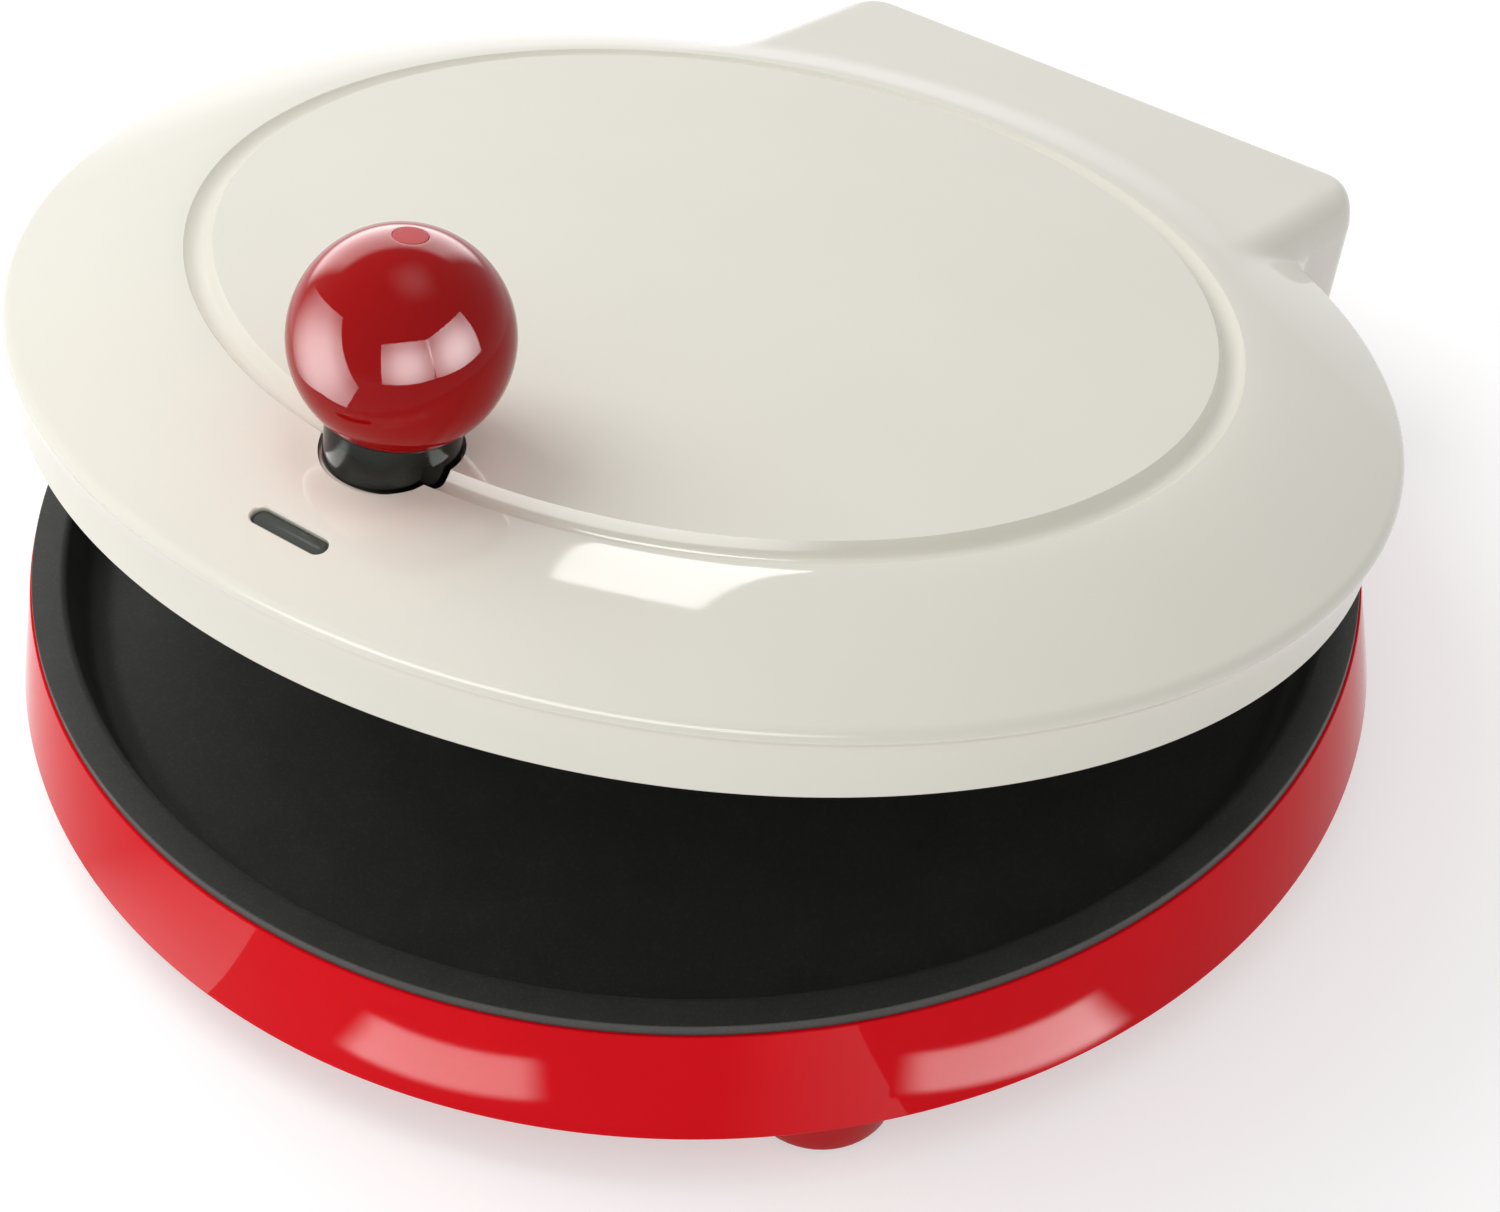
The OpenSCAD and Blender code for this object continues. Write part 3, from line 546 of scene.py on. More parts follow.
class Slot(Enum):
    """The record's material slots, each with its finish."""

    RED_SHELL = MouldedPlastic("red_shell", linear(216, 10, 24), 0.05, 0.045, peel=0.012, peel_scale=180.0)
    RED_FEET = MouldedPlastic("red_feet", linear(182, 12, 18), 0.16, 0.14, peel=0.05)
    CREAM_COVER = MouldedPlastic("cream_cover", linear(232, 229, 217), 0.055, 0.36, clouding=0.01, peel=0.008,
                                 peel_scale=180.0)
    RED_BALL = MouldedPlastic("red_ball", linear(156, 3, 5), 0.03, 0.13, peel=0.004, peel_scale=120.0)
    RED_CAP = MouldedPlastic("red_cap", linear(196, 84, 86), 0.25, 0.20)
    INNER_PLASTIC = MouldedPlastic("inner_plastic", linear(216, 213, 205), 0.45, 0.40, clouding=0.05,
                                   peel=0.15)
    NONSTICK = NonStick("nonstick", linear(52, 53, 49), 0.44)
    ELEMENT_STEEL = Metal("element_steel", linear(118, 108, 100), 0.45, dulling=0.45)
    REFLECTOR_SHEET = Metal("reflector_sheet", linear(205, 205, 206), 0.28, (1.0, 40.0, 1.0))
    FUSE_METAL = Metal("fuse_metal", linear(185, 180, 166), 0.32, (1.0, 1.0, 1.0))
    WASHER_BRASS = Metal("washer_brass", linear(205, 170, 92), 0.32)
    ZINC_STEEL = Metal("zinc_steel", linear(188, 190, 194), 0.30, (30.0, 1.0, 1.0))
    DARK_FERRULE = Metal("dark_ferrule", linear(52, 54, 52), 0.22, (1.0, 1.0, 14.0), 0.03, 0.12)
    PAD_RUBBER = Matte("pad_rubber", linear(36, 36, 36), 0.78)
    GLAND_RUBBER = Matte("gland_rubber", linear(34, 34, 34), 0.62, 700.0)
    BAKELITE = Matte("bakelite", linear(58, 44, 36), 0.42, 500.0, 0.1)
    TERMINAL_CERAMIC = Matte("terminal_ceramic", linear(232, 228, 214), 0.38, 400.0, 0.08, 0.04)
    WIRE_SLEEVE = Matte("wire_sleeve", linear(204, 182, 96), 0.66, 2400.0, 0.35)
    HEAT_WASHER = Matte("heat_washer", linear(184, 170, 142), 0.8, 1500.0, 0.3)
    SMOKED_LENS = Tinted("smoked_lens", linear(66, 72, 66), 0.14, 0.25)
    LAMP_GLASS = Tinted("lamp_glass", linear(240, 190, 150), 0.05, 0.85)

    @property
    def label(self) -> str:
        """The slot's name in the record."""
        return self.value.name


class Finishes:
    """Makes each finish once and puts it on pieces and on the frame's own solids."""

    def __init__(self) -> None:
        """Starts with no material made."""
        self._made: dict[Slot, bpy.types.Material] = {}

    def of(self, slot: Slot) -> bpy.types.Material:
        """The slot's material, made when it is first asked for.

        Args:
            slot: the finish.

        Returns:
            Its material.
        """
        if slot not in self._made:
            self._made[slot] = slot.value.build()
        return self._made[slot]

    def dress(self, piece: bpy.types.Object, slot: Slot, body: str, *nodes: str) -> bpy.types.Object:
        """Gives a new piece its finish, its body and the solids that it stands for.

        Args:
            piece: the piece.
            slot: its finish.
            body: the body that it rides on.
            nodes: the solids that it replaces.

        Returns:
            The piece.
        """
        piece.data.materials.append(self.of(slot))
        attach(piece, body)
        if nodes:
            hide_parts(*nodes)
        LOG.info("%s: %d faces, %s", piece.name, len(piece.data.polygons), slot.label)
        return piece

    def dress_frame(self, nodes: dict) -> None:
        """Gives every solid of the frame the finish of its slot.

        Args:
            nodes: the frame's objects by name.
        """
        by_label = {slot.label: slot for slot in Slot}
        for name, solid in nodes.items():
            for holder in solid.material_slots:
                label = holder.material.name.split(".")[0] if holder.material else ""
                if label in by_label:
                    holder.material = self.of(by_label[label])
            LOG.info("%s: finish %s", name, [h.material.name for h in solid.material_slots])


# ------------------------------------------------------------------------------------------ lid

@dataclass
class LidCover:
    """The lid's moulded cover: a domed panel, a groove, a sloping ring, a skirt and the rear hood."""

    radius: float = 165.0
    wall: float = 2.5
    skirt: float = 17.7
    draft: float = 3.3
    ring_width: float = 40.4
    groove_width: float = 6.6
    groove_depth: float = 1.8
    ring_height: float = 13.3
    ring_bend: float = 1.35
    panel_step: float = 1.4
    panel_rise: float = 2.6
    edge: float = 1.9
    hood_half: float = 83.0
    hood_rear: float = 186.0
    hood_front_z: float = 9.2
    hood_rear_z: float = 6.8
    hood_side: float = 26.0
    hood_notch: float = 19.5
    hood_notch_half: float = 62.5
    hood_corner: float = 13.0
    hood_shoulder: float = 9.0
    hood_rear_edge: float = 2.8
    hood_fillet: float = 9.0
    crease: float = 2.2
    knob_y: float = 117.5
    recess: float = 15.4
    seat: float = 10.5
    boss_under: float = 8.0
    dish: float = 1.25
    dish_reach: float = 6.0
    columns: int = 720
    step_share: float = 0.3
    trough_power: float = 0.75
    front_guard: float = 400.0
    drop_share: float = 0.97
    drop_rest: float = 0.03
    drop_slope: float = 4.0
    hood_sink: float = 60.0
    hood_front: float = 100.0
    hood_front_blend: float = 20.0
    skirt_power: float = 3.4
    hood_draft: float = 0.5
    lip: float = 0.4
    knob_bore: float = 2.75

    @property
    def groove_out(self) -> float:
        """The groove's outer radius."""
        return self.radius - self.ring_width

    @property
    def groove_in(self) -> float:
        """The groove's inner radius, which is the panel's edge."""
        return self.groove_out - self.groove_width

    def ring_z(self, r: np.ndarray) -> np.ndarray:
        """Height of the sloping ring: H (1 - t^bend), with t from 0 at the groove to 1 at the edge."""
        t = np.maximum((r - self.groove_out) / self.ring_width, 0.0)
        return self.ring_height * (1.0 - t ** self.ring_bend)

    def centre_z(self, r: np.ndarray) -> np.ndarray:
        """Height of the panel, a shallow dome, and of the groove, a rounded trough under a step.

        With u from 0 to 1 over the groove's width, the step falls over its first share, the trough is
        depth * sin(pi u)^power, and the dome rises by rise * (1 - (r / edge)^2).

        Args:
            r: distances from the lid's axis.

        Returns:
            The heights.
        """
        u = np.clip((r - self.groove_in) / self.groove_width, 0.0, 1.0)
        trough = self.ring_height + self.panel_step * (1 - smooth_step(u / self.step_share)) \
            - self.groove_depth * np.sin(np.pi * u) ** self.trough_power
        dome = self.ring_height + self.panel_step + self.panel_rise * (1 - (r / self.groove_in) ** 2)
        return np.where(r < self.groove_in, dome, trough)

    def hood_distance(self, x: np.ndarray, y: np.ndarray) -> np.ndarray:
        """Signed distance to the hood's plan, a bar with rounded rear corners.

        Args:
            x, y: places in lid coordinates.

        Returns:
            The distances, which are negative inside.
        """
        qx = np.abs(x) - (self.hood_half - self.hood_corner)
        qy = y - (self.hood_rear - self.hood_corner)
        outside = np.hypot(np.maximum(qx, 0.0), np.maximum(qy, 0.0))
        return outside + np.minimum(np.maximum(qx, qy), 0.0) - self.hood_corner

    def plan_distance(self, x: np.ndarray, y: np.ndarray) -> np.ndarray:
        """Signed distance to the whole plan: the smaller of circle and hood, filleted where they meet.

        Args:
            x, y: places in lid coordinates.

        Returns:
            The distances, which are negative inside.
        """
        circle = np.hypot(x, y) - self.radius
        hood = self.hood_distance(x, y) + self.front_guard * (y < 0)
        h = np.clip(0.5 + 0.5 * (circle - hood) / self.hood_fillet, 0.0, 1.0)
        return circle * (1 - h) + hood * h - self.hood_fillet * h * (1 - h)

    def top_z(self, x: np.ndarray, y: np.ndarray) -> np.ndarray:
        """Height of the ring and hood: the softened larger of both, rounded down at the plan's edge.

        The hood's top falls evenly to the rear, and drops along a quarter circle at its edge, wide
        along the sides, narrow along the rear and in between round the corners. The softened larger of
        a and b is (a + b + sqrt((a - b)^2 + crease^2)) / 2.

        Args:
            x, y: places in lid coordinates.

        Returns:
            The heights.
        """
        ring = self.ring_z(np.hypot(x, y))
        share = np.clip((y - self.groove_out) / (self.hood_rear - self.groove_out), 0.0, 1.0)
        flat = self.hood_front_z + (self.hood_rear_z - self.hood_front_z) * share
        inside = self.hood_distance(x, y)
        over_x = np.maximum(np.abs(x) - (self.hood_half - self.hood_corner), 1e-6)
        over_y = np.maximum(y - (self.hood_rear - self.hood_corner), 0.0)
        sideways = over_x ** 2 / (over_x ** 2 + over_y ** 2)
        bend = self.hood_rear_edge + (self.hood_shoulder - self.hood_rear_edge) * sideways
        depth = np.clip(bend + inside, 0.0, self.drop_share * bend)
        drop = bend - np.sqrt(bend ** 2 - depth ** 2)
        beyond = np.maximum(inside + self.drop_rest * bend, 0.0)
        sunk = self.hood_sink * smooth_step((self.hood_front - y) / self.hood_front_blend)
        hood = flat - drop - self.drop_slope * beyond - sunk
        top = 0.5 * (ring + hood + np.sqrt((ring - hood) ** 2 + self.crease ** 2))
        top = top - self.knob_dish(x, y)
        near = np.clip(self.edge + np.minimum(self.plan_distance(x, y), 0.0), 0.0, self.edge)
        return top - (self.edge - np.sqrt(np.maximum(self.edge ** 2 - near ** 2, 0.0)))

    def knob_dish(self, x: np.ndarray, y: np.ndarray) -> np.ndarray:
        """Depth of the soft dip in front of the knob: a bell curve across the recess's front edge.

        Args:
            x, y: places in lid coordinates.

        Returns:
            The depths.
        """
        ahead = np.clip(-(y + self.knob_y) / self.recess, 0.0, 1.0)
        beyond = (np.hypot(x, y + self.knob_y) - self.recess) / self.dish_reach
        return self.dish * smooth_step(ahead) * np.exp(-np.maximum(beyond, 0.0) ** 2)

    def outline(self) -> tuple[np.ndarray, np.ndarray]:
        """The plan's edge, evenly spaced along its length.

        For many directions from the axis, the distance to the edge is found by halving an interval;
        the points are then picked at equal lengths along the edge.

        Returns:
            The points as X and Y, and their outward normals.
        """
        directions, halvings, nearest, farthest = 7201, 40, 150.0, 215.0
        angle = np.linspace(-0.5 * math.pi, 1.5 * math.pi, directions)
        low, high = np.full_like(angle, nearest), np.full_like(angle, farthest)
        for _ in range(halvings):
            middle = 0.5 * (low + high)
            inside = self.plan_distance(middle * np.cos(angle), middle * np.sin(angle)) < 0
            low, high = np.where(inside, middle, low), np.where(inside, high, middle)
        x, y = low * np.cos(angle), low * np.sin(angle)
        length = np.concatenate([[0.0], np.cumsum(np.hypot(np.diff(x), np.diff(y)))])
        wanted = np.linspace(0.0, length[-1], self.columns, endpoint=False)
        points = np.stack([np.interp(wanted, length, x), np.interp(wanted, length, y)], axis=1)
        along = np.roll(points, -1, axis=0) - np.roll(points, 1, axis=0)
        along /= np.linalg.norm(along, axis=1, keepdims=True)
        return points, np.stack([along[:, 1], -along[:, 0]], axis=1)

    def skirt_bottom(self, edge: np.ndarray, reach: np.ndarray) -> np.ndarray:
        """Height of the lower edge: the skirt's, lower round the hood, and raised in its rear notch.

        Args:
            edge: the plan's edge as X and Y.
            reach: its distance from the lid's axis.

        Returns:
            The heights.
        """
        hood_starts, hood_blend, rear, notch_blend = 169.0, 2.5, 170.0, 2.5
        low = -self.skirt - (self.hood_side - self.skirt) * smooth_step((reach - hood_starts) / hood_blend)
        within = self.hood_notch_half + 2.0 - np.abs(edge[:, 0])
        notch = smooth_step(within / notch_blend) * (edge[:, 1] > rear)
        return low + notch * (self.hood_side - self.hood_notch)

    def top_rows(self, ray: np.ndarray, reach: np.ndarray) -> list:
        """The skin's rings over panel, groove, ring and hood, out to the plan's edge.

        Args:
            ray: a unit vector towards each point of the edge.
            reach: how far away the edge is.

        Returns:
            Arrays of points, one for each ring.
        """
        first, panel_rings, groove_rings, outer_rings, crowding = 8.0, 12, 15, 38, 1.7
        rows = []
        for r in [*np.linspace(first, self.groove_in - 2.0, panel_rings), self.groove_in - 0.5,
                  *(self.groove_in + self.groove_width * np.linspace(0.0, 1.0, groove_rings))]:
            z = self.centre_z(np.array(r))
            rows.append(np.column_stack([ray * r, np.full(len(ray), float(z))]))
        for s in np.linspace(0.0, 1.0, outer_rings)[1:]:
            t = 1.0 - (1.0 - s) ** crowding
            flat = ray * (self.groove_out + t * (reach - self.groove_out))[:, None]
            rows.append(np.column_stack([flat, self.top_z(flat[:, 0], flat[:, 1])]))
        return rows

    def inside_rows(self, inner: np.ndarray, low: np.ndarray) -> list:
        """The skin's rings up the inside of the skirt and back under the top to the middle.

        Args:
            inner: the inside of the wall as X and Y.
            low: height of the skirt's lower edge.

        Returns:
            Arrays of points, one for each ring.
        """
        reach = np.linalg.norm(inner, axis=1)
        ray = inner / reach[:, None]
        ceiling = self.top_z(inner[:, 0], inner[:, 1]) - self.wall
        rows = [np.column_stack([inner, low + self.lip + (ceiling - low - self.lip) * u]) for u in (0.5, 0.9)]
        under_hood, under_groove, under_panel = 14, 7, 22
        meets = self.groove_out + 3.0
        distances = [(reach + (meets - reach) * t)[:, None] for t in np.linspace(0.0, 1.0, under_hood)]
        distances += [*np.linspace(self.groove_out + 1.0, self.groove_in - 6.0, under_groove),
                      *np.linspace(108.0, 8.0, under_panel)]
        for distance in distances:
            flat = ray * distance
            rows.append(np.column_stack([flat, self.under_z(flat[:, 0], flat[:, 1])]))
        return rows

    def rings(self) -> tuple[np.ndarray, np.ndarray, np.ndarray]:
        """The skin as rings from the middle of the top, over the edge, and back inside to the middle.

        Returns:
            The rings, and the two poles.
        """
        edge, normal = self.outline()
        reach = np.linalg.norm(edge, axis=1)
        rows = self.top_rows(edge / reach[:, None], reach)
        brim_z = rows[-1][:, 2]
        hood_starts, hood_blend = 166.5, 3.0
        hood = smooth_step((reach - hood_starts) / hood_blend)
        low = self.skirt_bottom(edge, reach)
        for u in (0.02, 0.05, 0.1, 0.18, 0.3, 0.45, 0.62, 0.8, 0.93, 0.98):
            inward = (1 - hood) * self.draft * (1 - (1 - u) ** self.skirt_power) + hood * self.hood_draft * u
            rows.append(np.column_stack([edge - normal * inward[:, None], brim_z + (low - brim_z) * u]))
        base_in = (1 - hood) * self.draft + hood * self.hood_draft
        for step, lift in ((0.15, 0.1), (0.5, 0.0), (self.wall - 0.5, 0.0), (self.wall, self.lip)):
            rows.append(np.column_stack([edge - normal * (base_in + step)[:, None], low + lift]))
        rows += self.inside_rows(edge - normal * (base_in + self.wall)[:, None], low)
        top = np.array([0.0, 0.0, float(self.centre_z(np.array(0.0)))])
        return np.stack(rows), top, top - [0.0, 0.0, self.wall]

    def under_z(self, x: np.ndarray, y: np.ndarray) -> np.ndarray:
        """Height of the cover's inside: the outside less the wall, lower under groove and knob.

        Args:
            x, y: places in lid coordinates.

        Returns:
            The heights.
        """
        inner_reach, inner_blend, outer_reach, outer_blend, boss_blend = 5.0, 3.0, 6.0, 4.0, 2.5
        r = np.hypot(x, y)
        middle = self.centre_z(np.minimum(r, self.groove_in - 0.1))
        z = np.where(r > self.groove_out, self.top_z(x, y), middle) - self.wall
        shelf = self.ring_height - self.groove_depth - self.wall
        inner_side = smooth_step((r - self.groove_in + inner_reach) / inner_blend)
        outer_side = smooth_step((self.groove_out + outer_reach - r) / outer_blend)
        z = z + inner_side * outer_side * (np.minimum(shelf, z) - z)
        from_knob = np.hypot(x, y + self.knob_y)
        boss = smooth_step((self.recess + self.wall + boss_blend - from_knob) / boss_blend)
        return z + boss * (np.minimum(self.boss_under, z) - z)

    def build(self, finishes: Finishes, lens: "Indicator") -> None:
        """Makes the cover, and cuts the knob's recess and the indicator's window.

        Args:
            finishes: the finishes to dress it with.
            lens: the indicator, whose window is cut.
        """
        rings, top, under = self.rings()
        points, faces = closed_rings(rings, top, under)
        cover = make_mesh("lid_cover_skin", HINGE.to_frame(points, Place.LID), faces)
        above, high, low = 40, 12, 2
        spot = (0.0, -self.knob_y)
        recess = rounded_line([(0, above, 0), (self.recess, above, 0), (self.recess, self.seat, 0.6),
                               (0, self.seat, 0)])
        bore = rounded_line([(0, high, 0), (self.knob_bore, high, 0), (self.knob_bore, low, 0), (0, low, 0)])
        cut(cover, [revolve("knob_recess_cutter", recess, Place.LID, spot, 128),
                    revolve("knob_bore_cutter", bore, Place.LID, spot, 32), lens.window_cutter()], 32.0)
        finishes.dress(cover, Slot.CREAM_COVER, "lid", "lid_cover")
        self.inner_wall(finishes)

    def inner_wall(self, finishes: Finishes) -> None:
        """Makes the stretch of the round skirt that runs on inside the hood, as a bent bar.

        A section is carried round the lid's axis: x = r cos a, y = r sin a.

        Args:
            finishes: the finishes to dress it with.
        """
        side_gap, top_gap, top, kink = 3.0, 0.6, 5.0, -0.5
        start, stations = math.acos((self.hood_half - side_gap) / self.radius), 60
        angle = np.linspace(start, math.pi - start, stations)
        outer = self.radius - top_gap
        section = np.array([[self.radius - self.draft, -self.skirt], [outer, kink], [outer, top],
                            [self.radius - self.wall - top_gap, top],
                            [self.radius - self.draft - self.wall, -self.skirt]])
        rings = np.stack([section[None, :, 0] * np.cos(angle)[:, None],
                          section[None, :, 0] * np.sin(angle)[:, None],
                          np.repeat(section[None, :, 1], len(angle), axis=0)], axis=-1)
        count = len(section)
        faces = grid_faces(len(angle), count).tolist()
        faces += [list(range(count))[::-1], list(range((len(angle) - 1) * count, len(angle) * count))]
        wall = make_mesh("lid_cover_inner_wall", HINGE.to_frame(rings, Place.LID), faces)
        finishes.dress(wall, Slot.CREAM_COVER, "lid")


@dataclass
class Indicator:
    """The indicator's lens: a bar with rounded ends, sunk into its window in the sloping ring."""

    centre_y: float = 148.7
    length: float = 20.0
    width: float = 4.6
    clearance: float = 0.1
    sink: float = 1.1
    seat: float = 2.8
    flange: float = 1.0
    columns: int = 96

    def slot_rings(self, rows: list) -> np.ndarray:
        """Rings round a bar with rounded ends.

        Each ring is a half circle at either end, joined by straight sides: the half width is the
        circle's radius, and half the straight length moves the two halves apart.

        Args:
            rows: (how far the ring stands outside the window's edge, height over the ring's surface).

        Returns:
            Points as rows, columns and coordinates, in lid coordinates.
        """
        angle = np.linspace(0.0, 2 * math.pi, self.columns, endpoint=False)
        straight = 0.5 * (self.length - self.width)
        side = np.where(np.cos(angle) >= 0, straight, -straight)
        outs, heights = np.array(rows, dtype=float).T
        half = 0.5 * self.width + outs[:, None]
        x, along, up = side + half * np.cos(angle), half * np.sin(angle), heights[:, None] + 0 * angle
        cover = LidCover()
        t = (self.centre_y - cover.groove_out) / cover.ring_width
        slope = math.atan(cover.ring_height * cover.ring_bend * t ** (cover.ring_bend - 1) / cover.ring_width)
        y = -self.centre_y + along * math.cos(slope) - up * math.sin(slope)
        z = float(cover.ring_z(np.array(self.centre_y))) + along * math.sin(slope) + up * math.cos(slope)
        return np.stack([x, y, z], axis=-1)

    def skin(self, name: str, rows: list) -> bpy.types.Object:
        """Closes rings of the bar into a mesh.

        Args:
            name: the piece's name.
            rows: as slot_rings takes them, from the top down.

        Returns:
            The new object.
        """
        rings = self.slot_rings(rows)
        points, faces = closed_rings(rings, rings[0].mean(axis=0), rings[-1].mean(axis=0))
        return make_mesh(name, HINGE.to_frame(points, Place.LID), faces)

    def window_cutter(self) -> bpy.types.Object:
        """The window's cutter, flared at the surface for the bevel round the window."""
        return self.skin("window_cutter", [(1.4, 1.0), (0.55, 0.15), (0.0, -0.42), (0.0, -6.0)])

    def build(self, finishes: Finishes) -> None:
        """Makes the lens with a softly crowned face and its flange.

        Args:
            finishes: the finishes to dress it with.
        """
        inside, overlap = -self.clearance, 2.0
        rows = [(-2.0, -self.sink + 0.16), (-1.3, -self.sink + 0.12), (-0.7, -self.sink + 0.02),
                (-0.3, -self.sink - 0.12), (inside - 0.05, -self.sink - 0.35), (inside, -self.sink - 0.6),
                (inside, -self.seat), (overlap, -self.seat), (overlap, -self.seat - self.flange)]
        finishes.dress(self.skin("indicator_lens_face", rows), Slot.SMOKED_LENS, "lid", "indicator_lens")


@dataclass
class Knob:
    """The ball knob with its small cap and the dark ferrule that it stands on."""

    y: float = 117.5
    ball_radius: float = 23.8
    ball_z: float = 39.7
    ferrule_radius: float = 14.5
    cap_radius: float = 3.8
    cap_seat: float = 1.2
    seat: float = 10.5
    bore: float = 2.75

    @property
    def ferrule_top(self) -> float:
        """Height at which the ball has the ferrule's radius."""
        return self.ball_z - math.sqrt(self.ball_radius ** 2 - self.ferrule_radius ** 2)

    def build(self, finishes: Finishes) -> None:
        """Makes ball, cap and ferrule.

        Args:
            finishes: the finishes to dress them with.
        """
        centre = (0.0, -self.y)
        top = self.ball_z + self.ball_radius
        edge_break, arc_points = 0.006, 84
        start = math.asin(self.cap_radius / self.ball_radius) + edge_break
        end = math.pi - math.asin(self.ferrule_radius / self.ball_radius)
        polar = np.linspace(start, end, arc_points)
        arc = np.column_stack([self.ball_radius * np.sin(polar),
                               self.ball_z + self.ball_radius * np.cos(polar)])
        seat_z = top - self.cap_seat
        seat = np.array([[0.0, seat_z], [self.cap_radius, seat_z],
                         [self.cap_radius, top - 0.42], [self.cap_radius + 0.03, top - 0.34]])
        low = np.array([[self.ferrule_radius - 0.3, self.ferrule_top], [0.0, self.ferrule_top]])
        ball = revolve("knob_ball_gloss", np.vstack([seat, arc, low]), Place.LID, centre, 128)
        finishes.dress(ball, Slot.RED_BALL, "lid", "knob_ball")
        cap_r, cap_z = self.cap_radius - 0.08, top - 0.12
        cap = rounded_line([(0, cap_z, 0), (0.6 * cap_r, cap_z - 0.02, 0.8), (cap_r, cap_z - 0.12, 0.25),
                            (cap_r, seat_z, 0), (0, seat_z, 0)])
        plug = revolve("knob_cap_plug", cap, Place.LID, centre, 64)
        finishes.dress(plug, Slot.RED_CAP, "lid", "knob_cap")
        r, high = self.ferrule_radius, self.ferrule_top
        line = rounded_line([(self.bore, high, 0), (r, high, 0.35), (r, self.seat, 0.3),
                             (self.bore, self.seat, 0), (self.bore, high, 0)])[:-1]
        ferrule = revolve("knob_ferrule_turned", line, Place.LID, centre, 128)
        finishes.dress(ferrule, Slot.DARK_FERRULE, "lid", "knob_ferrule")


# ------------------------------------------------------------------------------------------ base

@dataclass
class CookingPan:
    """The lower pan: a flat rim, a sloping wall rounded into the floor, and four posts below."""

    rim: float = 162.0
    mouth: float = 153.8
    floor: float = 149.3
    rim_z: float = 44.8
    rim_t: float = 2.6
    floor_z: float = 27.8
    thickness: float = 2.6
    fillet: float = 6.0
    post: float = 4.5
    post_bore: float = 1.95
    post_ring: float = 88.0
    post_foot: float = 16.2

    def build(self, finishes: Finishes) -> None:
        """Makes the pan and its posts, which stand for the lower pan's solid.

        Args:
            finishes: the finishes to dress it with.
        """
        under = self.floor_z - self.thickness
        line = rounded_line([
            (0, self.floor_z, 0), (self.floor, self.floor_z, self.fillet), (self.mouth, self.rim_z, 1.6),
            (self.rim - 0.1, self.rim_z, 0.35), (self.rim, self.rim_z - self.rim_t, 0.2),
            (self.mouth + self.thickness, self.rim_z - self.rim_t, 0.8),
            (self.floor + 1.5, under, 3.0), (0, under, 0)], 9)
        pan = revolve("lower_pan_coated", line, Place.COOKER, (0.0, 0.0), 240)
        finishes.dress(pan, Slot.NONSTICK, "base", "lower_pan")
        top, foot, bore = under + 0.3, self.post_foot, self.post_bore
        section = rounded_line([(bore, top, 0), (self.post, top, 0), (self.post, foot, 0.4),
                                (bore, foot, 0), (bore, top, 0)])[:-1]
        for index, quarter in enumerate((45, 135, 225, 315)):
            angle = math.radians(quarter)
            spot = (self.post_ring * math.cos(angle), self.post_ring * math.sin(angle))
            post = revolve(f"lower_pan_post_{index + 1}", section, Place.COOKER, spot, 40)
            finishes.dress(post, Slot.NONSTICK, "base")


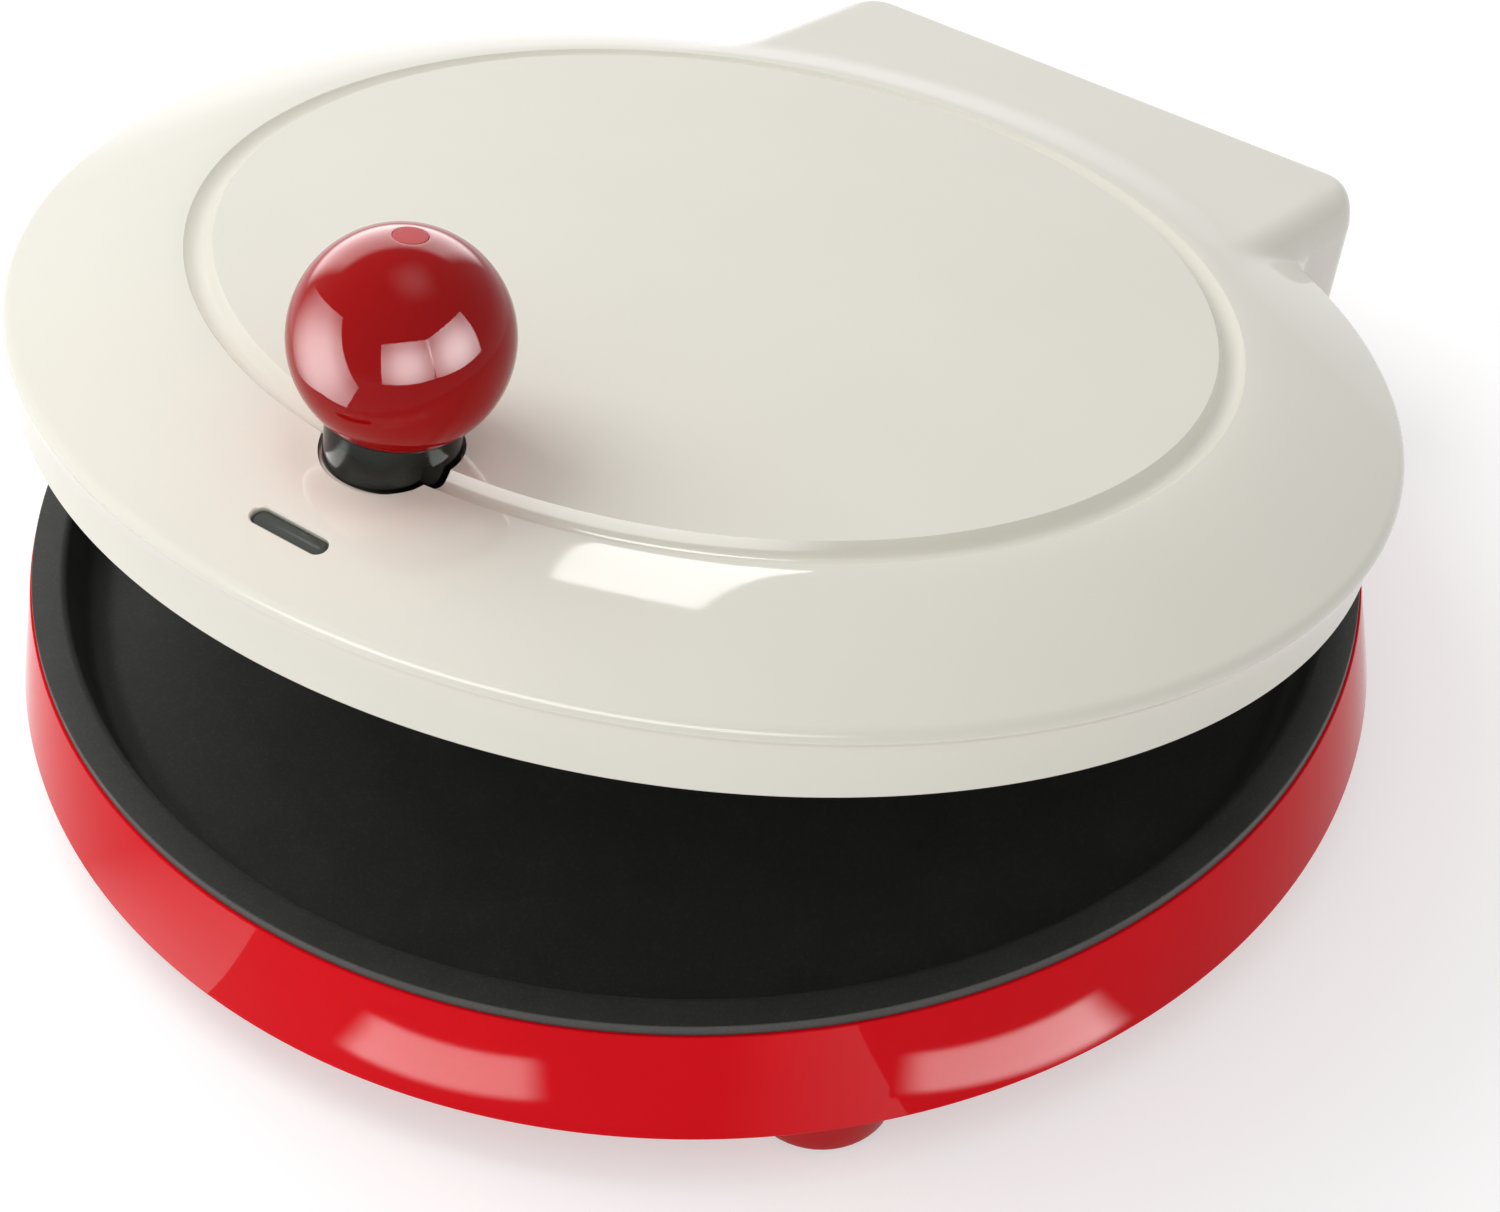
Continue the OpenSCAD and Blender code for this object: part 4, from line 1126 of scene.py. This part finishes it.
@dataclass
class BaseShell:
    """The red base: a flaring band with a rounded lower edge, a vented floor and two hinge lugs."""

    top: float = 162.6
    bottom: float = 167.5
    low: float = 14.0
    high: float = 42.2
    wall: float = 2.5
    floor: float = 2.2
    edge: float = 0.9
    vents: int = 16
    vent_ring: float = 62.0
    vent_length: float = 22.0
    vent_width: float = 3.0
    screw_bore: float = 2.15
    post_ring: float = 88.0
    foot_ring: float = 147.0
    gland_z: float = 25.5
    gland_bore: float = 5.6
    gland_span: tuple = (185.0, 150.0)
    lug_x: float = 40.0
    lug_width: float = 12.0
    knuckle: float = 6.5

    def bar(self, length: float, width: float, angle: float, distance: float) -> np.ndarray:
        """The plan of a slot with rounded ends that lies along a spoke.

        Args:
            length, width: the slot's size.
            angle: the spoke's angle in radians.
            distance: the slot's middle along the spoke.

        Returns:
            The outline's points as X and Y, in frame metres.
        """
        around = np.linspace(0.0, 2 * math.pi, 32, endpoint=False)
        straight = 0.5 * (length - width)
        x = distance + np.where(np.cos(around) >= 0, straight, -straight) + 0.5 * width * np.cos(around)
        y = 0.5 * width * np.sin(around)
        turned = np.column_stack([x * math.cos(angle) - y * math.sin(angle),
                                  x * math.sin(angle) + y * math.cos(angle) - HINGE.origin_y])
        return turned * MM

    def holes(self) -> list:
        """The cutters for the holes in the floor: vents, and screws for the pan's posts and the feet.

        Returns:
            The cutters.
        """
        low, high = (self.low - 1) * MM, (self.low + self.floor + 0.6) * MM
        cutters = []
        for i in range(self.vents):
            angle = 2 * math.pi * (i + 0.5) / self.vents
            vent = self.bar(self.vent_length, self.vent_width, angle, self.vent_ring)
            cutters.append(prism(f"vent_cutter_{i}", vent, low, high))
        width = 2 * self.screw_bore
        spots = [(self.post_ring, angle) for angle in (45, 135, 225, 315)]
        spots += [(self.foot_ring, angle) for angle in (42.5, 137.5, 222.5, 317.5)]
        for index, (distance, angle) in enumerate(spots):
            hole = self.bar(width, width, math.radians(angle), distance)
            cutters.append(prism(f"screw_cutter_{index}", hole, low, high))
        return cutters

    def gland_cutter(self) -> bpy.types.Object:
        """A round bar along Y through the rear wall, for the cord's gland.

        Returns:
            The cutter.
        """
        around = np.linspace(0.0, 2 * math.pi, 64, endpoint=False)
        x, z = self.gland_bore * np.cos(around), self.gland_z + self.gland_bore * np.sin(around)
        rings = np.stack([np.column_stack([x, np.full_like(x, y), z]) for y in self.gland_span])
        points, faces = closed_rings(rings, *(np.array([0, y, self.gland_z]) for y in self.gland_span))
        return make_mesh("gland_cutter", HINGE.to_frame(points, Place.COOKER), faces)

    def build(self, finishes: Finishes) -> None:
        """Makes the shell and its lugs, which stand for the base shell's solid.

        Args:
            finishes: the finishes to dress it with.
        """
        inner_floor = self.low + self.floor
        line = rounded_line([
            (0, inner_floor, 0), (self.bottom - self.wall - 0.3, inner_floor, 1.5),
            (self.top - self.wall, self.high, 0.4), (self.top, self.high, 0.35),
            (self.bottom, self.low, self.edge), (0, self.low, 0)], 12)
        shell = revolve("base_shell_gloss", line, Place.COOKER, (0.0, 0.0), 288, 40.0)
        cut(shell, [*self.holes(), self.gland_cutter()], 40.0)
        finishes.dress(shell, Slot.RED_SHELL, "base", "base_shell")
        for side in (-1, 1):
            self.lug(side, finishes)

    def lug(self, side: int, finishes: Finishes) -> None:
        """Makes a hinge lug: a knuckle round the pin, on a neck that rises from the shell.

        The outline is a line of corners with its own rounding at each, and the knuckle is an arc.

        Args:
            side: -1 for the left lug, 1 for the right one.
            finishes: the finishes to dress it with.
        """
        y, z, r = HINGE.reach, HINGE.height, self.knuckle
        neck, inner, bevel, shrink = y - r - 2.0, self.top - 2.0, 0.4, 12.0
        arc = np.radians(np.linspace(-95.0, 125.0, 30))
        knuckle = np.column_stack([y + r * np.cos(arc), z + r * np.sin(arc)])
        root = rounded_line([(y - 4.2, z + 4.8, 0), (neck, z - 0.5 * r, 2.0), (inner, self.high - 0.6, 1.0),
                             (inner, 27.0, 0), (neck, 26.0, 2.0), (neck, z - r - 3.0, 3.0),
                             (y - 2.0, z - r + 0.1, 0)])
        outline = np.vstack([knuckle, root])
        half = 0.5 * self.lug_width
        rows = [(-half, bevel), (-half + bevel, 0.0), (half - bevel, 0.0), (half, bevel)]
        middle = np.array([y - 1.0, z])
        rings = []
        for x, inset in rows:
            pulled = outline + (middle - outline) * (inset / shrink)
            rings.append(np.column_stack([np.full(len(outline), side * self.lug_x + x), pulled]))
        count = len(outline)
        faces = grid_faces(len(rows), count).tolist()
        faces += [list(range(count))[::-1], list(range((len(rows) - 1) * count, len(rows) * count))]
        lug = make_mesh(f"base_hinge_lug_{'left' if side < 0 else 'right'}",
                        HINGE.to_frame(np.stack(rings), Place.COOKER), faces)
        finishes.dress(lug, Slot.RED_SHELL, "base")


# ------------------------------------------------------------------------------------------ studio

@dataclass(frozen=True)
class SoftBox:
    """A rectangular lamp that faces a target.

    azimuth is 0 in front of the part and 90 at its right, and elevation is above the horizon, both in
    degrees; distance and size are in metres, radiance is its brightness, 1 for white. shows_in names
    the glossy pieces that reflect it, if it is there for them alone, and roll turns it. soft is how
    much of its half width dims towards each edge, edge_level how bright the edge stays, and fades
    makes it dim from one end to the other.
    """

    name: str
    target: tuple
    azimuth: float
    elevation: float
    distance: float
    size: tuple
    radiance: float
    shows_in: frozenset = frozenset()
    roll: float = 0.0
    soft: float = 0.0
    edge_level: float = 0.0
    fades: bool = False

    def axes(self) -> Matrix:
        """The lamp's axes: Z away from the target and X level, then X and Y turned by roll about Z.

        Returns:
            The axes as the matrix's columns.
        """
        a, e, r = math.radians(self.azimuth), math.radians(self.elevation), math.radians(self.roll)
        away = Vector((math.sin(a) * math.cos(e), -math.cos(a) * math.cos(e), math.sin(e)))
        level = Vector((0.0, 0.0, 1.0)).cross(away)
        level = level.normalized() if level.length > 1e-3 else Vector((1.0, 0.0, 0.0))
        other = away.cross(level)
        x, y = level * math.cos(r) + other * math.sin(r), other * math.cos(r) - level * math.sin(r)
        return Matrix((x, y, away)).transposed()

    def dim_edges(self, data: bpy.types.Light) -> None:
        """Dims the lamp over its own surface: towards its edges, and from end to end.

        Args:
            data: the lamp's data.
        """
        data.use_nodes = True
        tree = data.node_tree
        glow = next(node for node in tree.nodes if node.type == "EMISSION")
        place = tree.nodes.new("ShaderNodeNewGeometry").outputs["Parametric"]
        split = tree.nodes.new("ShaderNodeSeparateXYZ")
        tree.links.new(place, split.inputs[0])
        factors = []
        for axis in range(2 if self.soft else 0):
            edge, ramp = tree.nodes.new("ShaderNodeMath"), tree.nodes.new("ShaderNodeMapRange")
            edge.operation, edge.inputs[1].default_value = "PINGPONG", 0.5
            ramp.interpolation_type = "SMOOTHSTEP"
            ramp.inputs["From Max"].default_value = 0.5 * self.soft
            ramp.inputs["To Min"].default_value = self.edge_level
            tree.links.new(split.outputs[axis], edge.inputs[0])
            tree.links.new(edge.outputs[0], ramp.inputs["Value"])
            factors.append(ramp.outputs["Result"])
        if self.fades:
            factors.append(split.outputs[0])
        level = factors[0]
        for factor in factors[1:]:
            both = tree.nodes.new("ShaderNodeMath")
            both.operation = "MULTIPLY"
            tree.links.new(level, both.inputs[0])
            tree.links.new(factor, both.inputs[1])
            level = both.outputs[0]
        tree.links.new(level, glow.inputs["Strength"])

    def build(self) -> bpy.types.Object:
        """Makes the lamp, whose power is radiance times pi times its area.

        Returns:
            The lamp.
        """
        data = bpy.data.lights.new(self.name, "AREA")
        data.shape, data.size, data.size_y = "RECTANGLE", self.size[0], self.size[1]
        data.energy = self.radiance * math.pi * self.size[0] * self.size[1]
        if self.soft or self.fades:
            self.dim_edges(data)
        lamp = bpy.data.objects.new(self.name, data)
        bpy.context.scene.collection.objects.link(lamp)
        axes = self.axes()
        place = Vector(self.target) + axes.col[2] * self.distance
        lamp.matrix_world = Matrix.Translation(place) @ axes.to_4x4()
        lamp.visible_camera = False
        lamp.visible_glossy = bool(self.shows_in)
        if self.shows_in:
            lamp.visible_diffuse = lamp.visible_transmission = False
            receivers = bpy.data.collections.new(f"{self.name}_shows_in")
            for name in sorted(self.shows_in):
                receivers.objects.link(bpy.data.objects[name])
            lamp.light_linking.receiver_collection = receivers
        return lamp


@dataclass
class Studio:
    """The camera, the plain white floor and the soft lamps."""

    lens: float = 78.203
    sensor: float = 36.0
    clip: tuple = (0.05, 60.0)
    shift: tuple = (0.03667, -0.124)
    eye: tuple = (361.587, -492.451, 577.975)
    azimuth: float = 36.93
    elevation: float = 39.92
    roll: float = -0.26
    floor_half: float = 12.0
    floor_white: float = 0.88
    floor_seen: float = 0.68
    floor_lift: float = 0.47
    world_level: float = 1.06
    world_dim: float = 0.56
    dim_towards: tuple = (0.8, 0.6, 0.0)

    def camera(self) -> None:
        """Places the camera by its azimuth, elevation and roll."""
        data = bpy.data.cameras.new("camera")
        data.lens, data.sensor_width = self.lens, self.sensor
        data.shift_x, data.shift_y = self.shift
        data.clip_start, data.clip_end = self.clip
        eye = bpy.data.objects.new("camera", data)
        bpy.context.scene.collection.objects.link(eye)
        a, e, r = (math.radians(v) for v in (self.azimuth, self.elevation, self.roll))
        back = Vector((math.sin(a) * math.cos(e), -math.cos(a) * math.cos(e), math.sin(e)))
        right = Vector((math.cos(a), math.sin(a), 0.0))
        up = back.cross(right)
        right, up = right * math.cos(r) + up * math.sin(r), up * math.cos(r) - right * math.sin(r)
        turn = Matrix((right, up, back)).transposed().to_4x4()
        eye.matrix_world = Matrix.Translation(Vector(self.eye) * MM) @ turn
        bpy.context.scene.camera = eye

    def seen_directly(self, tree: bpy.types.NodeTree) -> bpy.types.NodeSocket:
        """Tells the rays that show a surface, straight or in gloss or glass, from those that light.

        Args:
            tree: the node tree to add it to.

        Returns:
            1 for a camera, glossy or transmission ray, and 0 for others.
        """
        path, one, two = (tree.nodes.new(kind) for kind in (
            "ShaderNodeLightPath", "ShaderNodeMath", "ShaderNodeMath"))
        one.operation = two.operation = "MAXIMUM"
        tree.links.new(path.outputs["Is Camera Ray"], one.inputs[0])
        tree.links.new(path.outputs["Is Glossy Ray"], one.inputs[1])
        tree.links.new(one.outputs[0], two.inputs[0])
        tree.links.new(path.outputs["Is Transmission Ray"], two.inputs[1])
        return two.outputs[0]

    def floor(self) -> None:
        """Makes the floor: matte white that takes the shadow, lifted to white for the camera."""
        h = self.floor_half
        corners = np.array([[-h, -h, 0.0], [h, -h, 0.0], [h, h, 0.0], [-h, h, 0.0]])
        floor = make_mesh("studio_floor", corners, [[0, 1, 2, 3]])
        material = bpy.data.materials.new("studio_floor")
        material.use_nodes = True
        tree = material.node_tree
        tree.nodes.clear()
        output, matte, glow, both, tone, lift = (tree.nodes.new(kind) for kind in (
            "ShaderNodeOutputMaterial", "ShaderNodeBsdfDiffuse", "ShaderNodeEmission", "ShaderNodeAddShader",
            "ShaderNodeMapRange", "ShaderNodeMath"))
        seen = self.seen_directly(tree)
        tone.inputs["To Min"].default_value = self.floor_white
        tone.inputs["To Max"].default_value = self.floor_seen
        lift.operation = "MULTIPLY"
        lift.inputs[1].default_value = self.floor_lift
        tree.links.new(seen, tone.inputs["Value"])
        tree.links.new(seen, lift.inputs[0])
        tree.links.new(tone.outputs[0], matte.inputs["Color"])
        tree.links.new(lift.outputs[0], glow.inputs["Strength"])
        tree.links.new(matte.outputs[0], both.inputs[0])
        tree.links.new(glow.outputs[0], both.inputs[1])
        tree.links.new(both.outputs[0], output.inputs[0])
        floor.data.materials.append(material)

    def world(self) -> None:
        """Makes the room: white where the camera, gloss or glass sees it, and a softer light elsewhere.

        The light falls evenly from world_level at the front left to world_dim at the rear right.
        """
        world = bpy.data.worlds.new("studio")
        bpy.context.scene.world = world
        world.use_nodes = True
        tree = world.node_tree
        tree.nodes.clear()
        output, back, mix, toward, along, side = (tree.nodes.new(kind) for kind in (
            "ShaderNodeOutputWorld", "ShaderNodeBackground", "ShaderNodeMapRange", "ShaderNodeTexCoord",
            "ShaderNodeVectorMath", "ShaderNodeMapRange"))
        along.operation, along.inputs[1].default_value = "DOT_PRODUCT", self.dim_towards
        side.inputs["From Min"].default_value = -1.0
        side.inputs["To Min"].default_value = self.world_level
        side.inputs["To Max"].default_value = self.world_dim
        tree.links.new(toward.outputs["Generated"], along.inputs[0])
        tree.links.new(along.outputs["Value"], side.inputs["Value"])
        tree.links.new(self.seen_directly(tree), mix.inputs["Value"])
        tree.links.new(side.outputs[0], mix.inputs["To Min"])
        mix.inputs["To Max"].default_value = 1.0
        tree.links.new(mix.outputs[0], back.inputs["Strength"])
        tree.links.new(back.outputs[0], output.inputs[0])

    def lamps(self) -> None:
        """Makes the soft key lamp, and the soft boxes that show in the glossy surfaces."""
        ball, ferrule, lens, lid, shell = (frozenset({name}) for name in (
            "knob_ball_gloss", "knob_ferrule_turned", "indicator_lens_face", "lid_cover_skin",
            "base_shell_gloss"))
        at_ball, over_ball, up = (0.016, -0.121, 0.174), (0.0, -0.111, 0.18), -90.0
        boxes = [
            SoftBox("key", (0.0, 0.0, 0.08), -80.0, 50.0, 1.1, (0.8, 0.8), 2.9),
            SoftBox("front_fill", (0.0, -0.15, 0.06), 22.0, 5.0, 1.1, (1.1, 0.3), 2.2),
            SoftBox("lens_glow", (0.0013, -0.149, 0.1376), -120.5, 53.5, 1.3, (0.15, 0.12), 4.0,
                    lens, 0, 1.0),
            SoftBox("ring_window", (0.0687, -0.1117, 0.1347), -154.1, 46.8, 1.3, (0.225, 0.46), 9.0,
                    lid, -4.0),
            SoftBox("brim_window", (0.0, 0.0, 0.1), 15.0, 38.0, 1.5, (3.4, 0.7), 7.0, lid, 0, 0.6),
            SoftBox("ball_window_left", (-0.0355, -0.1683, 0.1651), -51.9, -16.0, 0, (0.087, 0.104), 60.0,
                    ball, 31.3, 0.9, 0.4, True),
            SoftBox("ball_window_near", at_ball, 46.5, 9.0, 1.0, (0.93, 0.90), 46.0, ball, 0, 0.9, 0.5),
            SoftBox("ball_window_far", at_ball, 97.0, 9.0, 1.0, (0.96, 0.90), 48.0, ball, 0, 0.9, 0.5),
            SoftBox("ball_crescent", over_ball, -135.0, 18.0, 1.0, (1.9, 1.1), 6.5, ball, 0, 0.4),
            SoftBox("ball_top_glow", over_ball, 155.0, 76.0, 1.0, (1.0, 0.9), 3.0, ball, 0, 1.0),
            SoftBox("ferrule_streak_left", (-0.0118, -0.1397, 0.1395), 0, up, 0, (0.006, 0.022), 3.0,
                    ferrule, 27.0),
            SoftBox("ferrule_streak_right", (0.026, -0.1172, 0.141), 0, up, 0, (0.005, 0.022), 2.4,
                    ferrule, -88.5),
            SoftBox("shell_front", (0.0493, -0.2061, 0.002), 0, up, 0, (0.070, 0.024), 30.0,
                    shell, -10.3, 0.35),
            SoftBox("shell_right", (0.1762, -0.0943, 0.002), 0, up, 0, (0.076, 0.022), 30.0,
                    shell, -72.5, 0.35),
            SoftBox("shell_left_glow", (-0.0584, -0.2085, 0.002), 0, up, 0, (0.058, 0.06), 4.0,
                    shell, 16.5, fades=True),
            SoftBox("shell_mid_glow", (0.1515, -0.1562, 0.002), 0, up, 0, (0.05, 0.06), 4.0,
                    shell, -46.3, fades=True),
        ]
        for box in boxes:
            box.build()

    def build(self) -> None:
        """Makes the whole studio and sets the plain view. The lamps come after the pieces they show in."""
        self.camera()
        self.floor()
        self.world()
        self.lamps()
        bpy.context.scene.view_settings.view_transform = "Standard"
        LOG.info("studio: camera, floor, world and lamps")


# ------------------------------------------------------------------------------------------ all

def main() -> None:
    """Dresses the frame's solids, makes the pieces that replace some of them, and builds the studio."""
    logging.basicConfig(level=logging.INFO, format="%(message)s")
    finishes = Finishes()
    finishes.dress_frame(frame["nodes"])
    lens = Indicator()
    LidCover().build(finishes, lens)
    lens.build(finishes)
    Knob().build(finishes)
    CookingPan().build(finishes)
    BaseShell().build(finishes)
    Studio().build()


if __name__ == "__main__":
    main()
